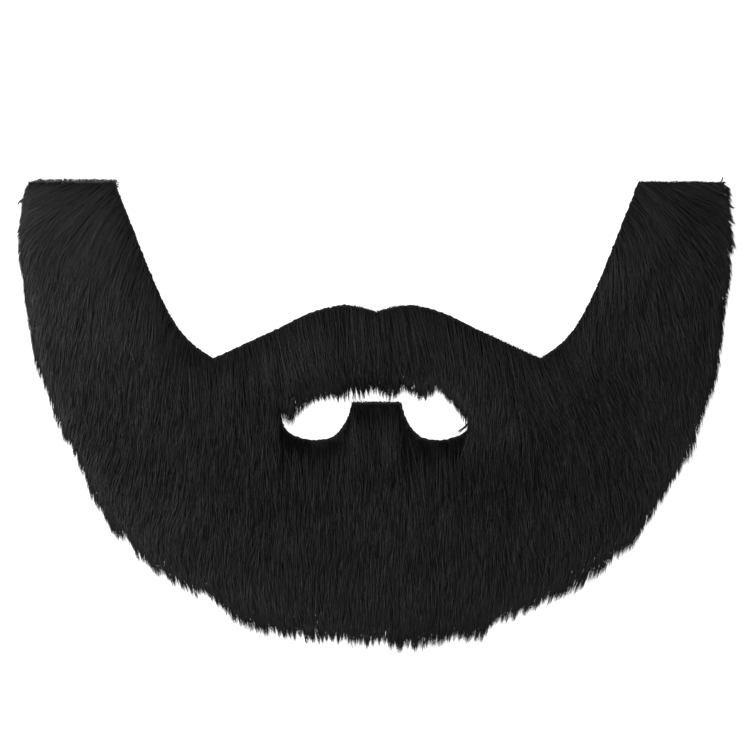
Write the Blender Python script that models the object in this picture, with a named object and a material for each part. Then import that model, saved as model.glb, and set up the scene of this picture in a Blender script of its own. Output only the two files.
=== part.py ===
"""A full fake beard with its moustache, cut in one from long black plush and laid flat, fur up.

Two pieces: the cloth backing, whose flat underside goes on the skin, and the fur, whose combed
locks hang past the backing's lower edges and over the mouth opening.

+X is to the right as the beard is seen from the front, +Y runs from the chin to the sideburns and
+Z points out of the fur. The origin is the middle of the outline, on the surface that the backing
lies on. Every length is in metres and every angle in degrees.
"""

import math
import random
from typing import NamedTuple

import bmesh
import bpy
from mathutils import Vector
from mathutils.geometry import interpolate_bezier

# Driving dimensions
BACKING_THICKNESS = 0.0016
SEAT_GAP = 0.0003
ROOT_BED_DEPTH = 0.0052
ROOT_BED_SHOULDER = 0.0026
HAIR_LENGTH = 0.027
PILE_DEPTH = 0.0070
LOCK_WIDTH = 0.0190
LOCK_KEEL = 0.0011
LOCK_PITCH = 0.0145
ROW_PITCH = 0.0165
EDGE_PITCH = 0.0122
ROOT_JITTER = 0.12
ROOT_SPACING = 0.7
EDGE_MARGIN = 0.36
FALL_REACH = 0.0165
TIP_LEVEL = 0.0018
FRINGE_THINNING = 0.45
EDGE_STEP = 0.0055
EDGE_PROBE = 0.0005
EDGE_SHARE = 0.35
FRINGE_INSET = 0.0048
CROWN_INSET = 0.0026
TRIM_STEPS = 24
LENGTH_RANGE = (0.92, 1.12)
SHORTEST_LOCK = 0.35
RISE_RANGE = (0.92, 1.08)
SEED = 7


class EdgePoint(NamedTuple):
    """A point on the right half of an edge, and whether the edge turns sharply there."""

    place: str
    across: float
    up: float
    sharp: bool = False


# The top edge of both the backing and the hair, from the notch under the nose to the sideburn
TOP_EDGE = (
    EdgePoint("nose notch", 0.0, 0.0468, True),
    EdgePoint("moustache crest", 0.0140, 0.0500),
    EdgePoint("moustache shoulder", 0.0290, 0.0470),
    EdgePoint("upper slope", 0.0440, 0.0400),
    EdgePoint("lower slope", 0.0600, 0.0325),
    EdgePoint("cheek corner", 0.0760, 0.0252, True),
    EdgePoint("cheek curve", 0.0885, 0.0350),
    EdgePoint("inner edge, middle", 0.0992, 0.0520),
    EdgePoint("inner edge, upper", 0.1105, 0.0790),
    EdgePoint("sideburn inner corner", 0.1215, 0.1070, True),
)

# The tab under the lip and the mouth opening's lower edge, bare of overhanging hair
LOWER_LIP_EDGE = (
    EdgePoint("tab top", 0.0, 0.0050),
    EdgePoint("tab corner", 0.0114, 0.0048, True),
    EdgePoint("tab side", 0.0141, -0.0035),
    EdgePoint("tab foot", 0.0200, -0.0108),
    EdgePoint("lower lip", 0.0290, -0.0126),
    EdgePoint("lower lip, outer", 0.0385, -0.0105),
)

# The backing's cut edge, on round to the chin
CUT_EDGE = TOP_EDGE + (
    EdgePoint("sideburn outer corner", 0.1615, 0.1070, True),
    EdgePoint("outer edge, upper", 0.1618, 0.0800),
    EdgePoint("outer edge, middle", 0.1585, 0.0530),
    EdgePoint("outer edge, lower", 0.1535, 0.0320),
    EdgePoint("jaw, upper", 0.1440, 0.0050),
    EdgePoint("jaw, lower", 0.1307, -0.0235),
    EdgePoint("jaw corner", 0.1085, -0.0500),
    EdgePoint("chin curve", 0.0790, -0.0695),
    EdgePoint("chin side", 0.0450, -0.0830),
    EdgePoint("chin", 0.0, -0.0890),
)

# The mouth opening's cut edge, on round to the middle of the upper lip
MOUTH_EDGE = LOWER_LIP_EDGE + (
    EdgePoint("mouth corner, lower", 0.0432, -0.0050),
    EdgePoint("mouth corner, upper", 0.0440, 0.0070),
    EdgePoint("upper lip, outer", 0.0350, 0.0168),
    EdgePoint("upper lip", 0.0, 0.0212),
)

# Where the hair is trimmed outside the backing
TRIM_EDGE = TOP_EDGE + (
    EdgePoint("sideburn outer corner", 0.1618, 0.1070, True),
    EdgePoint("outer edge, upper", 0.1645, 0.0800),
    EdgePoint("outer edge, middle", 0.1620, 0.0530),
    EdgePoint("outer edge, lower", 0.1580, 0.0290),
    EdgePoint("jaw, upper", 0.1500, 0.0014),
    EdgePoint("jaw, lower", 0.1383, -0.0263),
    EdgePoint("jaw corner", 0.1200, -0.0539),
    EdgePoint("chin curve", 0.0930, -0.0775),
    EdgePoint("chin side", 0.0560, -0.0965),
    EdgePoint("chin", 0.0, -0.1075),
)

# What the hair leaves open of the mouth, on round to the moustache's tips
OPEN_MOUTH_EDGE = LOWER_LIP_EDGE + (
    EdgePoint("mouth corner", 0.0435, -0.0060, True),
    EdgePoint("moustache tips, corner", 0.0400, 0.0010),
    EdgePoint("moustache tips, outer", 0.0330, 0.0060),
    EdgePoint("moustache tips", 0.0, 0.0095),
)


class CombPoint(NamedTuple):
    """Which way the hair lies at a place on the right half: its lean outward from straight down."""

    place: str
    across: float
    up: float
    lean: float


COMB_REACH = 0.024
COMB = (
    CombPoint("under the nose", 0.0, 0.045, 0.0),
    CombPoint("moustache", 0.030, 0.030, 6.0),
    CombPoint("cheek", 0.078, 0.010, 14.0),
    CombPoint("sideburn top, inner", 0.124, 0.104, 18.0),
    CombPoint("sideburn top, outer", 0.156, 0.104, 34.0),
    CombPoint("sideburn middle", 0.135, 0.065, 12.0),
    CombPoint("outer edge", 0.155, 0.045, 3.0),
    CombPoint("jaw", 0.125, -0.015, 8.0),
    CombPoint("lower jaw", 0.085, -0.050, 4.0),
    CombPoint("chin", 0.0, -0.050, 0.0),
)


class LockRing(NamedTuple):
    """A cross-section of a lock: how far along it is, and its shares of the full width and rise."""

    along: float
    width: float
    rise: float


LOCK_RINGS = (
    LockRing(0.0, 0.60, 0.28),
    LockRing(0.32, 1.0, 0.82),
    LockRing(0.66, 0.95, 1.0),
    LockRing(0.88, 0.68, 0.74),
)


class Finish(NamedTuple):
    """A material's colour and how rough its surface is."""

    colour: tuple
    roughness: float


BACKING_CLOTH = Finish((0.022, 0.022, 0.023), 0.9)
BLACK_FUR = Finish((0.012, 0.012, 0.012), 0.6)


def smooth_run(points, step):
    """Points along one smooth curve through the given ones, without the last."""
    found = []
    for index in range(len(points) - 1):
        start, end = points[index], points[index + 1]
        before = points[max(index - 1, 0)]
        after = points[min(index + 2, len(points) - 1)]
        count = max(1, round((end - start).length / step))
        handle_out = start + (end - before) / 6
        handle_in = end - (after - start) / 6
        found += interpolate_bezier(start, handle_out, handle_in, end, count + 1)[:-1]
    return found


def closed_outline(edge, step):
    """An edge's right half and its mirror image as one loop of points, smooth between corners."""
    right = [(Vector((p.across, p.up, 0)), p.sharp) for p in edge]
    left = [(Vector((-p.across, p.up, 0)), p.sharp) for p in edge[-2:0:-1]]
    loop = right + left
    first_sharp = next(i for i, (_, sharp) in enumerate(loop) if sharp)
    loop = loop[first_sharp:] + loop[: first_sharp + 1]
    outline = []
    run = [loop[0][0]]
    for point, sharp in loop[1:]:
        run.append(point)
        if sharp:
            outline += smooth_run(run, step)
            run = [point]
    return outline


CUT_OUTLINE = closed_outline(CUT_EDGE, EDGE_STEP)
MOUTH_OUTLINE = closed_outline(MOUTH_EDGE, EDGE_STEP / 2)
TRIM_OUTLINE = closed_outline(TRIM_EDGE, EDGE_STEP)
OPEN_MOUTH_OUTLINE = closed_outline(OPEN_MOUTH_EDGE, EDGE_STEP / 2)


def sides_of(outline):
    """Each side of a closed outline as its two ends."""
    return zip(outline, outline[1:] + outline[:1])


def inside(outline, point):
    """Whether a point lies inside a closed outline, seen from above."""
    crossings = 0
    for a, b in sides_of(outline):
        if (a.y > point.y) != (b.y > point.y):
            reach = a.x + (point.y - a.y) / (b.y - a.y) * (b.x - a.x)
            crossings += point.x < reach
    return crossings % 2 == 1


def distance_to(outline, point):
    """How far a point is from the nearest side of an outline, seen from above."""
    nearest = math.inf
    for a, b in sides_of(outline):
        side = b - a
        share = min(1.0, max(0.0, (point - a).dot(side) / side.length_squared))
        nearest = min(nearest, (a + side * share - point).length)
    return nearest


def on_backing(point):
    """Whether a point lies over the backing's cloth."""
    return inside(CUT_OUTLINE, point) and not inside(MOUTH_OUTLINE, point)


def overhang(point):
    """How far past the backing's edge a point lies, or 0 over the cloth."""
    if on_backing(point):
        return 0.0
    return min(distance_to(CUT_OUTLINE, point), distance_to(MOUTH_OUTLINE, point))


def untrimmed(point):
    """Whether hair may reach a point."""
    return inside(TRIM_OUTLINE, point) and not inside(OPEN_MOUTH_OUTLINE, point)


def lie(point):
    """The direction that hair rooted near a point lies in, seen from above."""
    side = math.copysign(1.0, point.x)
    total = 0.0
    lean = 0.0
    for comb in COMB:
        away = math.hypot(abs(point.x) - comb.across, point.y - comb.up)
        weight = math.exp(-((away / COMB_REACH) ** 2)) + 1e-9
        total += weight
        lean += weight * comb.lean
    angle = math.radians(lean / total) * side
    return Vector((math.sin(angle), -math.cos(angle), 0))


def cut_cloth(bottom, top, shoulder=0.0):
    """The cut outline with its mouth opening as a flat solid; a shoulder bevels the upper edges."""
    shape = bmesh.new()
    rims = []
    for outline in (CUT_OUTLINE, MOUTH_OUTLINE):
        corners = [shape.verts.new((p.x, p.y, bottom)) for p in outline]
        rims += [shape.edges.new(ends) for ends in zip(corners, corners[1:] + corners[:1])]
    bmesh.ops.triangle_fill(shape, edges=rims, use_beauty=True)
    raised = bmesh.ops.extrude_face_region(shape, geom=shape.faces[:])["geom"]
    upper_faces = [part for part in raised if isinstance(part, bmesh.types.BMFace)]
    upper_corners = [part for part in raised if isinstance(part, bmesh.types.BMVert)]
    bmesh.ops.translate(shape, verts=upper_corners, vec=(0, 0, top - bottom))
    bmesh.ops.recalc_face_normals(shape, faces=shape.faces[:])
    if shoulder:
        bmesh.ops.inset_region(shape, faces=upper_faces, thickness=shoulder, depth=shoulder)
    return shape


def lock_levels(point, rise):
    """The heights of a lock's underside, edges and ridge over a point, which fall past the cloth."""
    fall = min(1.0, overhang(point) / FALL_REACH)
    root_level = BACKING_THICKNESS + SEAT_GAP + ROOT_BED_DEPTH / 2
    edge = root_level + (TIP_LEVEL - root_level) * fall
    ridge = edge + PILE_DEPTH * rise * (1 - FRINGE_THINNING * fall)
    return edge - LOCK_KEEL, edge, ridge


def add_lock(shape, root, length, lift):
    """Adds one tapered lock of hair, from its root in the bed to its tip, as a closed body."""
    centre = root.copy()
    rings = []
    previous = 0.0
    for ring in LOCK_RINGS:
        centre = centre + lie(centre) * length * (ring.along - previous)
        previous = ring.along
        heading = lie(centre)
        room = min(distance_to(TRIM_OUTLINE, centre), distance_to(OPEN_MOUTH_OUTLINE, centre))
        half_width = min(LOCK_WIDTH * ring.width / 2, room)
        across = Vector((-heading.y, heading.x, 0)) * half_width
        underside, edge, ridge = lock_levels(centre, ring.rise * lift)
        section = (
            (centre - across, edge),
            (centre, ridge),
            (centre + across, edge),
            (centre, underside),
        )
        rings.append([shape.verts.new((place.x, place.y, level)) for place, level in section])
    tip = centre + lie(centre) * length * (1 - previous)
    tip_corner = shape.verts.new((tip.x, tip.y, lock_levels(tip, 0.0)[1]))
    shape.faces.new(rings[0])
    for near, far in zip(rings, rings[1:]):
        for i in range(len(near)):
            after = (i + 1) % len(near)
            shape.faces.new((near[after], near[i], far[i], far[after]))
    last = rings[-1]
    for i in range(len(last)):
        shape.faces.new((last[(i + 1) % len(last)], last[i], tip_corner))


def edge_roots():
    """Roots along the edges that the hair starts from and those that it hangs over."""
    roots = []
    for edge in (CUT_EDGE, MOUTH_EDGE):
        for a, b in sides_of(closed_outline(edge, EDGE_PITCH)):
            side = (b - a).normalized()
            middle = (a + b) / 2
            outward = Vector((side.y, -side.x, 0))
            if on_backing(middle + outward * EDGE_PROBE):
                outward = -outward
            past_edge = lie(middle).dot(outward)
            if abs(past_edge) > EDGE_SHARE:
                inset = FRINGE_INSET if past_edge > 0 else CROWN_INSET
                roots.append(middle - outward * inset)
    return roots


def row_roots(taken, chance):
    """Roots in staggered rows over the rest of the cloth, clear of those already taken."""
    roots = []
    top = max(p.y for p in CUT_OUTLINE)
    right = max(p.x for p in CUT_OUTLINE)
    margin = LOCK_WIDTH * EDGE_MARGIN
    rows = round(2 * top / ROW_PITCH)
    columns = round(2 * right / LOCK_PITCH)
    for row in range(rows):
        up = top - margin - row * ROW_PITCH
        shift = 0.5 * (row % 2)
        for column in range(columns + 1):
            across = (column - columns / 2 + shift) * LOCK_PITCH
            jitter = Vector((chance.uniform(-1, 1), chance.uniform(-1, 1), 0))
            root = Vector((across, up, 0)) + jitter * LOCK_PITCH * ROOT_JITTER
            if not on_backing(root):
                continue
            if min(distance_to(CUT_OUTLINE, root), distance_to(MOUTH_OUTLINE, root)) < margin:
                continue
            if all((root - other).length > LOCK_PITCH * ROOT_SPACING for other in taken):
                roots.append(root)
    return roots


def trimmed_length(root, wanted):
    """How long a lock from this root is, once it is trimmed to the hair's outline."""
    step = HAIR_LENGTH / TRIM_STEPS
    point = root.copy()
    length = 0.0
    while length < wanted:
        point = point + lie(point) * step
        if not untrimmed(point):
            break
        length += step
    return length


def finished(name, shape, finish):
    """A named object with its own material, from a finished shape."""
    mesh = bpy.data.meshes.new(name)
    shape.to_mesh(mesh)
    shape.free()
    solid = bpy.data.objects.new(name, mesh)
    bpy.context.scene.collection.objects.link(solid)
    material = bpy.data.materials.new(name)
    material.use_nodes = True
    surface = material.node_tree.nodes["Principled BSDF"]
    surface.inputs["Base Color"].default_value = (*finish.colour, 1.0)
    surface.inputs["Roughness"].default_value = finish.roughness
    mesh.materials.append(material)
    return solid


def make_backing():
    """The knitted ground cloth, with the outline's cut edge and the mouth opening."""
    return finished("backing", cut_cloth(0.0, BACKING_THICKNESS), BACKING_CLOTH)


def make_locks():
    """Every lock of hair, as overlapping closed bodies that the fur is fused from."""
    chance = random.Random(SEED)
    shape = bmesh.new()
    first_roots = edge_roots()
    for root in first_roots + row_roots(first_roots, chance):
        length = trimmed_length(root, HAIR_LENGTH * chance.uniform(*LENGTH_RANGE))
        if length > HAIR_LENGTH * SHORTEST_LOCK:
            add_lock(shape, root, length, chance.uniform(*RISE_RANGE))
    locks = finished("lock_bodies", shape, BLACK_FUR)
    locks.hide_render = True
    locks.display_type = "WIRE"
    return locks


def make_fur():
    """The fur: a bed of roots over the whole cloth, with the locks fused into it."""
    bed_bottom = BACKING_THICKNESS + SEAT_GAP
    bed = cut_cloth(bed_bottom, bed_bottom + ROOT_BED_DEPTH, ROOT_BED_SHOULDER)
    fur = finished("fur", bed, BLACK_FUR)
    fuse = fur.modifiers.new("fused locks", "BOOLEAN")
    fuse.operation = "UNION"
    fuse.object = make_locks()
    fuse.use_self = True
    return fur


def main():
    """Clears the scene and builds the beard."""
    for old in list(bpy.data.objects):
        bpy.data.objects.remove(old)
    make_backing()
    make_fur()


main()
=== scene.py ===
"""The looks of a full fake beard in long black plush, laid flat with the fur up.

The backing is a sheet of knitted ground cloth with a frayed cut edge. The pile is many thousands
of separate tapered hairs, gathered in tufts and combed down the face, over a short dense underfur.
+X is to the right as the beard is seen from the front, +Y runs from the chin to the sideburns and
+Z points out of the fur. Lengths are in metres and angles in degrees.
"""

import logging
import math
from dataclasses import dataclass, field
from enum import Enum
from typing import NamedTuple

import bmesh
import bpy
import numpy as np
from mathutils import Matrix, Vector


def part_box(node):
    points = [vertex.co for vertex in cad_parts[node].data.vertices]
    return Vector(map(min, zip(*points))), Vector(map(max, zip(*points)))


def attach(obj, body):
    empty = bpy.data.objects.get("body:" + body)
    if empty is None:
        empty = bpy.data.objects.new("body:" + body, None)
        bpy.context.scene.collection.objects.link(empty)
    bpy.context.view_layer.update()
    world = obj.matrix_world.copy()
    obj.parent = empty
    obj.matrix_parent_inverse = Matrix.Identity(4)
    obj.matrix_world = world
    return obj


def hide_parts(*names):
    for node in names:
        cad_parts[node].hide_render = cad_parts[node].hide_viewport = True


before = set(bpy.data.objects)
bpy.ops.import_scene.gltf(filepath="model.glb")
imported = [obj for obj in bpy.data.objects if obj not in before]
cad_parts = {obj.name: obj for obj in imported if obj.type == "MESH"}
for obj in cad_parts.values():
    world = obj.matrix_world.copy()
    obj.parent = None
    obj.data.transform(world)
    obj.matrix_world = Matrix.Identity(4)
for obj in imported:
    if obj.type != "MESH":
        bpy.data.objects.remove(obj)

LOG = logging.getLogger("fake_beard")
MM = 0.001
TINY, LEAST_STEP, LEAST_SIDE = 1e-12, 1e-9, 1e-6
WELD, DOWNWARD = 0.01 * MM, -0.9
# Each hair's tone; on the pile it also carries the painted light and shade
TONE = "hair_tone"
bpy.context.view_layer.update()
UP, RIGHT = np.array([0.0, 0.0, 1.0]), np.array([1.0, 0.0, 0.0])

Triple = tuple[float, float, float]


class EdgePoint(NamedTuple):
    """A point on an outline, and whether the outline turns sharply there."""

    place: str
    x: float
    y: float
    sharp: bool = False


class CombPoint(NamedTuple):
    """How the hair lies near a place: its lean to the right of straight down, how ragged its
    trimmed ends are, and how much lighter or darker than the rest it is painted, as painted light and shade."""

    place: str
    x: float
    y: float
    lean: float
    ragged: float
    tone: float = 0.0


class FrayedRun(NamedTuple):
    """A run of cut edge between two places across and above a height, and its yarns' looks."""

    place: str
    low: float
    high: float
    above: float
    pale: float
    long: float = 0.0006
    yarns: int = 1
    thick: float = 0.00014


class StrayHair(NamedTuple):
    """One loose hair: its root, the way it sets off, its length and how far it turns to its tip."""

    place: str
    x: float
    y: float
    z: float
    lean: float
    length: float
    turn: float


class Part(Enum):
    """The parts of the pile, each one piece of the scene."""

    LEFT_SIDEBURN = "left_sideburn_fur"
    RIGHT_SIDEBURN = "right_sideburn_fur"
    MOUSTACHE = "moustache_fur"
    TAB = "tab_fur"
    LEFT_JAW = "left_jaw_fur"
    RIGHT_JAW = "right_jaw_fur"
    CHIN = "chin_fur"


# The hair's outline above the sideburns' tops and along the moustache, from left to right
UPPER_HAIRLINE = (
    EdgePoint("left sideburn, outer corner", -0.1608, 0.1066, True),
    EdgePoint("left sideburn, top", -0.1560, 0.1076),
    EdgePoint("left sideburn, inner corner", -0.1217, 0.1074, True),
    EdgePoint("left inner edge, upper", -0.1100, 0.0765),
    EdgePoint("left inner edge, middle", -0.0988, 0.0510),
    EdgePoint("left cheek curve", -0.0870, 0.0338),
    EdgePoint("left cheek corner", -0.0757, 0.0254, True),
    EdgePoint("left lower slope", -0.0605, 0.0318),
    EdgePoint("left upper slope", -0.0430, 0.0409),
    EdgePoint("left moustache shoulder", -0.0290, 0.0474),
    EdgePoint("left moustache crest", -0.0150, 0.0497),
    EdgePoint("nose notch", -0.0012, 0.0466, True),
    EdgePoint("right moustache crest", 0.0140, 0.0497),
    EdgePoint("right moustache shoulder", 0.0290, 0.0468),
    EdgePoint("right upper slope", 0.0430, 0.0401),
    EdgePoint("right lower slope", 0.0605, 0.0314),
    EdgePoint("right cheek corner", 0.0770, 0.0250, True),
    EdgePoint("right cheek curve", 0.0878, 0.0340),
    EdgePoint("right inner edge, middle", 0.0990, 0.0515),
    EdgePoint("right inner edge, upper", 0.1102, 0.0775),
    EdgePoint("right sideburn, inner corner", 0.1217, 0.1062, True),
    EdgePoint("right sideburn, outer corner", 0.1622, 0.1068, True),
)

# The hair's outline from the right sideburn down, along the jaw and chin, and up to the left one
LOWER_HAIRLINE = (
    EdgePoint("right sideburn, upper", 0.1622, 0.0985),
    EdgePoint("right sideburn, fuller tuft", 0.1638, 0.0820),
    EdgePoint("right sideburn, middle", 0.1626, 0.0655),
    EdgePoint("right sideburn, lower", 0.1598, 0.0440),
    EdgePoint("right cheek, upper", 0.1578, 0.0225),
    EdgePoint("right cheek, middle", 0.1540, 0.0100),
    EdgePoint("right cheek, lower", 0.1474, -0.0110),
    EdgePoint("right jaw, overhang", 0.1428, -0.0230, True),
    EdgePoint("right jaw, step", 0.1362, -0.0310),
    EdgePoint("right jaw, lower", 0.1270, -0.0452),
    EdgePoint("right jaw corner", 0.1176, -0.0595),
    EdgePoint("right chin curve, upper", 0.1060, -0.0690),
    EdgePoint("right chin curve, middle", 0.0900, -0.0812),
    EdgePoint("right chin curve, lower", 0.0700, -0.0896),
    EdgePoint("right chin side", 0.0545, -0.0970),
    EdgePoint("right chin, tuft", 0.0440, -0.1024),
    EdgePoint("right chin, notch", 0.0345, -0.1016),
    EdgePoint("chin tuft", 0.0155, -0.1066),
    EdgePoint("chin, middle", -0.0030, -0.1046),
    EdgePoint("chin, notch", -0.0130, -0.1028),
    EdgePoint("left chin, tuft", -0.0290, -0.1042),
    EdgePoint("left chin side", -0.0490, -0.0996),
    EdgePoint("left chin, overhang", -0.0650, -0.0945, True),
    EdgePoint("left chin, step", -0.0730, -0.0850),
    EdgePoint("left chin curve", -0.0860, -0.0803),
    EdgePoint("left jaw corner, lower", -0.1040, -0.0704),
    EdgePoint("left jaw corner", -0.1142, -0.0592),
    EdgePoint("left jaw, lower", -0.1268, -0.0465),
    EdgePoint("left jaw, middle", -0.1338, -0.0300),
    EdgePoint("left jaw, upper", -0.1392, -0.0175),
    EdgePoint("left cheek, overhang", -0.1462, -0.0065, True),
    EdgePoint("left cheek, lower", -0.1495, 0.0046),
    EdgePoint("left cheek, middle", -0.1555, 0.0195),
    EdgePoint("left cheek, upper", -0.1592, 0.0370),
    EdgePoint("left sideburn, lower", -0.1622, 0.0580),
    EdgePoint("left sideburn, middle", -0.1646, 0.0735),
    EdgePoint("left sideburn, upper", -0.1638, 0.0930),
)

# What the hair leaves open of the mouth, from the tab's left corner down and round
OPEN_MOUTH = (
    EdgePoint("tab, left corner", -0.0122, 0.0052, True),
    EdgePoint("tab, left side", -0.0146, -0.0012),
    EdgePoint("left lobe, foot of the tab", -0.0168, -0.0076),
    EdgePoint("left lobe, bottom", -0.0260, -0.0124),
    EdgePoint("left lobe, outer bottom", -0.0362, -0.0112),
    EdgePoint("left lobe, outer side", -0.0425, -0.0062),
    EdgePoint("left lobe, beside the clump", -0.0438, -0.0010, True),
    EdgePoint("left clump, outer side", -0.0416, -0.0030),
    EdgePoint("left clump, tip", -0.0386, -0.0052, True),
    EdgePoint("left clump, inner side", -0.0356, 0.0000),
    EdgePoint("left tips, outer", -0.0312, 0.0033),
    EdgePoint("left tips", -0.0240, 0.0066),
    EdgePoint("left tips, inner", -0.0100, 0.0063),
    EdgePoint("middle tips, notch", -0.0016, 0.0104),
    EdgePoint("middle tips", 0.0066, 0.0074),
    EdgePoint("right tips, notch", 0.0131, 0.0112),
    EdgePoint("right tips, inner", 0.0210, 0.0060),
    EdgePoint("right tips, second notch", 0.0279, 0.0105),
    EdgePoint("right tips, outer", 0.0330, 0.0060),
    EdgePoint("right lobe, upper side", 0.0378, 0.0004),
    EdgePoint("right lobe, outer side", 0.0408, -0.0048),
    EdgePoint("right lobe, outer bottom", 0.0376, -0.0104),
    EdgePoint("right lobe, bottom", 0.0270, -0.0130),
    EdgePoint("right lobe, foot of the tab", 0.0168, -0.0094),
    EdgePoint("tab, right side", 0.0134, -0.0030),
    EdgePoint("tab, right corner", 0.0120, 0.0050, True),
)

# How the hair is combed, from the sideburns over the cheeks and the moustache to the chin.
# Its last column is painted light and shade: lighter towards the left, where the light falls,
# and darker on the tab, in the moustache's shade.
COMB = (
    CombPoint("left sideburn, top outer", -0.158, 0.104, -62, 0.4, -0.10),
    CombPoint("left sideburn, top", -0.142, 0.105, -70, 0.3, 0.10),
    CombPoint("left sideburn, top inner", -0.125, 0.104, -46, 0.3, 0.35),
    CombPoint("left sideburn, upper outer", -0.158, 0.090, -44, 0.5, 0.20),
    CombPoint("left sideburn, upper", -0.140, 0.090, -42, 0.3, 0.20),
    CombPoint("left sideburn, upper inner", -0.120, 0.090, -26, 0.3, 0.30),
    CombPoint("left sideburn, middle outer", -0.160, 0.070, -10, 0.5, 0.35),
    CombPoint("left sideburn, middle", -0.138, 0.070, -18, 0.3, 0.30),
    CombPoint("left sideburn, middle inner", -0.114, 0.070, -15, 0.3, 0.05),
    CombPoint("left sideburn, lower outer", -0.157, 0.045, -7, 0.5, 0.40),
    CombPoint("left sideburn, lower", -0.130, 0.045, -7, 0.3, 0.30),
    CombPoint("left sideburn, lower inner", -0.104, 0.045, -8, 0.3, 0.00),
    CombPoint("left cheek, outer", -0.148, 0.010, -4, 1.0, 0.20),
    CombPoint("left cheek, middle", -0.118, 0.010, -3, 0.5, 0.05),
    CombPoint("left cheek, inner", -0.086, 0.014, -4, 0.3, -0.10),
    CombPoint("left cheek corner", -0.068, 0.020, 0, 0.3, -0.10),
    CombPoint("left of the parting", -0.053, 0.008, 2, 0.5, -0.10),
    CombPoint("left mouth corner", -0.045, 0.020, 18, 0.8, 0.00),
    CombPoint("left moustache, outer", -0.050, 0.033, 13, 0.3, -0.10),
    CombPoint("left moustache", -0.030, 0.034, 15, 2.4, -0.05),
    CombPoint("left moustache, inner", -0.014, 0.032, 9, 2.4, -0.05),
    CombPoint("under the nose", 0.000, 0.030, 3, 2.4, -0.30),
    CombPoint("moustache crest", -0.004, 0.044, 5, 2.4, 0.15),
    CombPoint("right moustache, inner", 0.015, 0.030, 7, 2.4, 0.00),
    CombPoint("right moustache", 0.030, 0.030, 9, 2.4, -0.05),
    CombPoint("right mouth corner", 0.043, 0.012, -3, 0.8, 0.05),
    CombPoint("right of the mouth", 0.048, -0.004, -4, 0.5, 0.15),
    CombPoint("right moustache, outer", 0.056, 0.026, 10, 0.3, -0.05),
    CombPoint("right cheek corner", 0.075, 0.016, 17, 0.3, -0.15),
    CombPoint("right cheek, inner", 0.090, 0.010, 25, 0.3, -0.10),
    CombPoint("right cheek, middle", 0.105, -0.002, 25, 0.5, -0.10),
    CombPoint("right cheek, lower", 0.110, -0.022, 13, 0.7, -0.10),
    CombPoint("right cheek, outer", 0.148, 0.010, 8, 1.0, 0.00),
    CombPoint("right sideburn, top inner", 0.125, 0.104, 50, 0.3, -0.15),
    CombPoint("right sideburn, top", 0.142, 0.104, 67, 0.3, -0.20),
    CombPoint("right sideburn, top outer", 0.159, 0.103, 56, 0.7, -0.15),
    CombPoint("right sideburn, upper inner", 0.119, 0.090, 22, 0.4, -0.05),
    CombPoint("right sideburn, upper", 0.138, 0.090, 38, 0.4, -0.05),
    CombPoint("right sideburn, upper outer", 0.158, 0.088, 42, 1.3, 0.00),
    CombPoint("right sideburn, middle inner", 0.113, 0.070, 5, 0.4, 0.05),
    CombPoint("right sideburn, middle", 0.136, 0.070, 20, 0.4, 0.10),
    CombPoint("right sideburn, middle outer", 0.160, 0.070, 25, 1.3, 0.00),
    CombPoint("right sideburn, lower inner", 0.102, 0.045, 3, 0.4, 0.00),
    CombPoint("right sideburn, lower", 0.126, 0.045, 13, 0.4, 0.12),
    CombPoint("right sideburn, lower outer", 0.157, 0.045, 10, 1.0, -0.05),
    CombPoint("left jaw", -0.125, -0.015, -16, 1.6, 0.00),
    CombPoint("left jaw, tips", -0.138, -0.034, 4, 1.6, 0.18),
    CombPoint("left jaw, inner", -0.100, -0.025, -6, 1.6, -0.05),
    CombPoint("left jaw corner", -0.104, -0.046, -14, 2.0, 0.05),
    CombPoint("left jaw corner, tips", -0.118, -0.062, 14, 2.0, 0.20),
    CombPoint("left chin curve", -0.078, -0.064, -4, 2.4, -0.05),
    CombPoint("left chin curve, tips", -0.088, -0.082, 15, 2.4, 0.10),
    CombPoint("left chin, tips", -0.056, -0.098, 9, 2.6, 0.10),
    CombPoint("left chin", -0.036, -0.080, 1, 2.6, 0.00),
    CombPoint("left chin, upper", -0.050, -0.030, 1, 2.6, -0.15),
    CombPoint("tab", 0.000, -0.010, 0, 2.4, -0.17),
    CombPoint("chin, middle", 0.000, -0.050, 0, 2.6, -0.05),
    CombPoint("chin", 0.000, -0.088, 1, 2.6, 0.00),
    CombPoint("left of the mouth", -0.049, -0.004, -5, 0.5, -0.10),
    CombPoint("left chin, middle", -0.020, -0.060, 0, 2.6, -0.10),
    CombPoint("right chin, middle", 0.022, -0.060, 0, 2.6, -0.05),
    CombPoint("under the tab", 0.006, -0.028, 0, 1.6, -0.15),
    CombPoint("right chin, upper", 0.050, -0.030, 2, 2.6, -0.20),
    CombPoint("right chin", 0.036, -0.080, 1, 2.6, -0.05),
    CombPoint("right chin, tips", 0.056, -0.098, -10, 2.6, 0.05),
    CombPoint("right chin curve", 0.078, -0.064, 5, 2.4, -0.05),
    CombPoint("right chin curve, tips", 0.090, -0.082, -20, 2.4, 0.05),
    CombPoint("right jaw, inner", 0.100, -0.025, 8, 1.6, -0.10),
    CombPoint("right jaw corner", 0.104, -0.046, 14, 2.0, 0.00),
    CombPoint("right jaw corner, tips", 0.120, -0.060, -12, 2.0, 0.05),
    CombPoint("right jaw", 0.127, -0.015, 18, 1.6, 0.05),
    CombPoint("right jaw, tips", 0.142, -0.032, 2, 1.6, 0.10),
)

# The cut edges that the hair is combed away from, and how frayed each run of them is
PLAIN_EDGE = FrayedRun("elsewhere", -1.0, 1.0, -1.0, 0.03, 0.0003)

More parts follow.
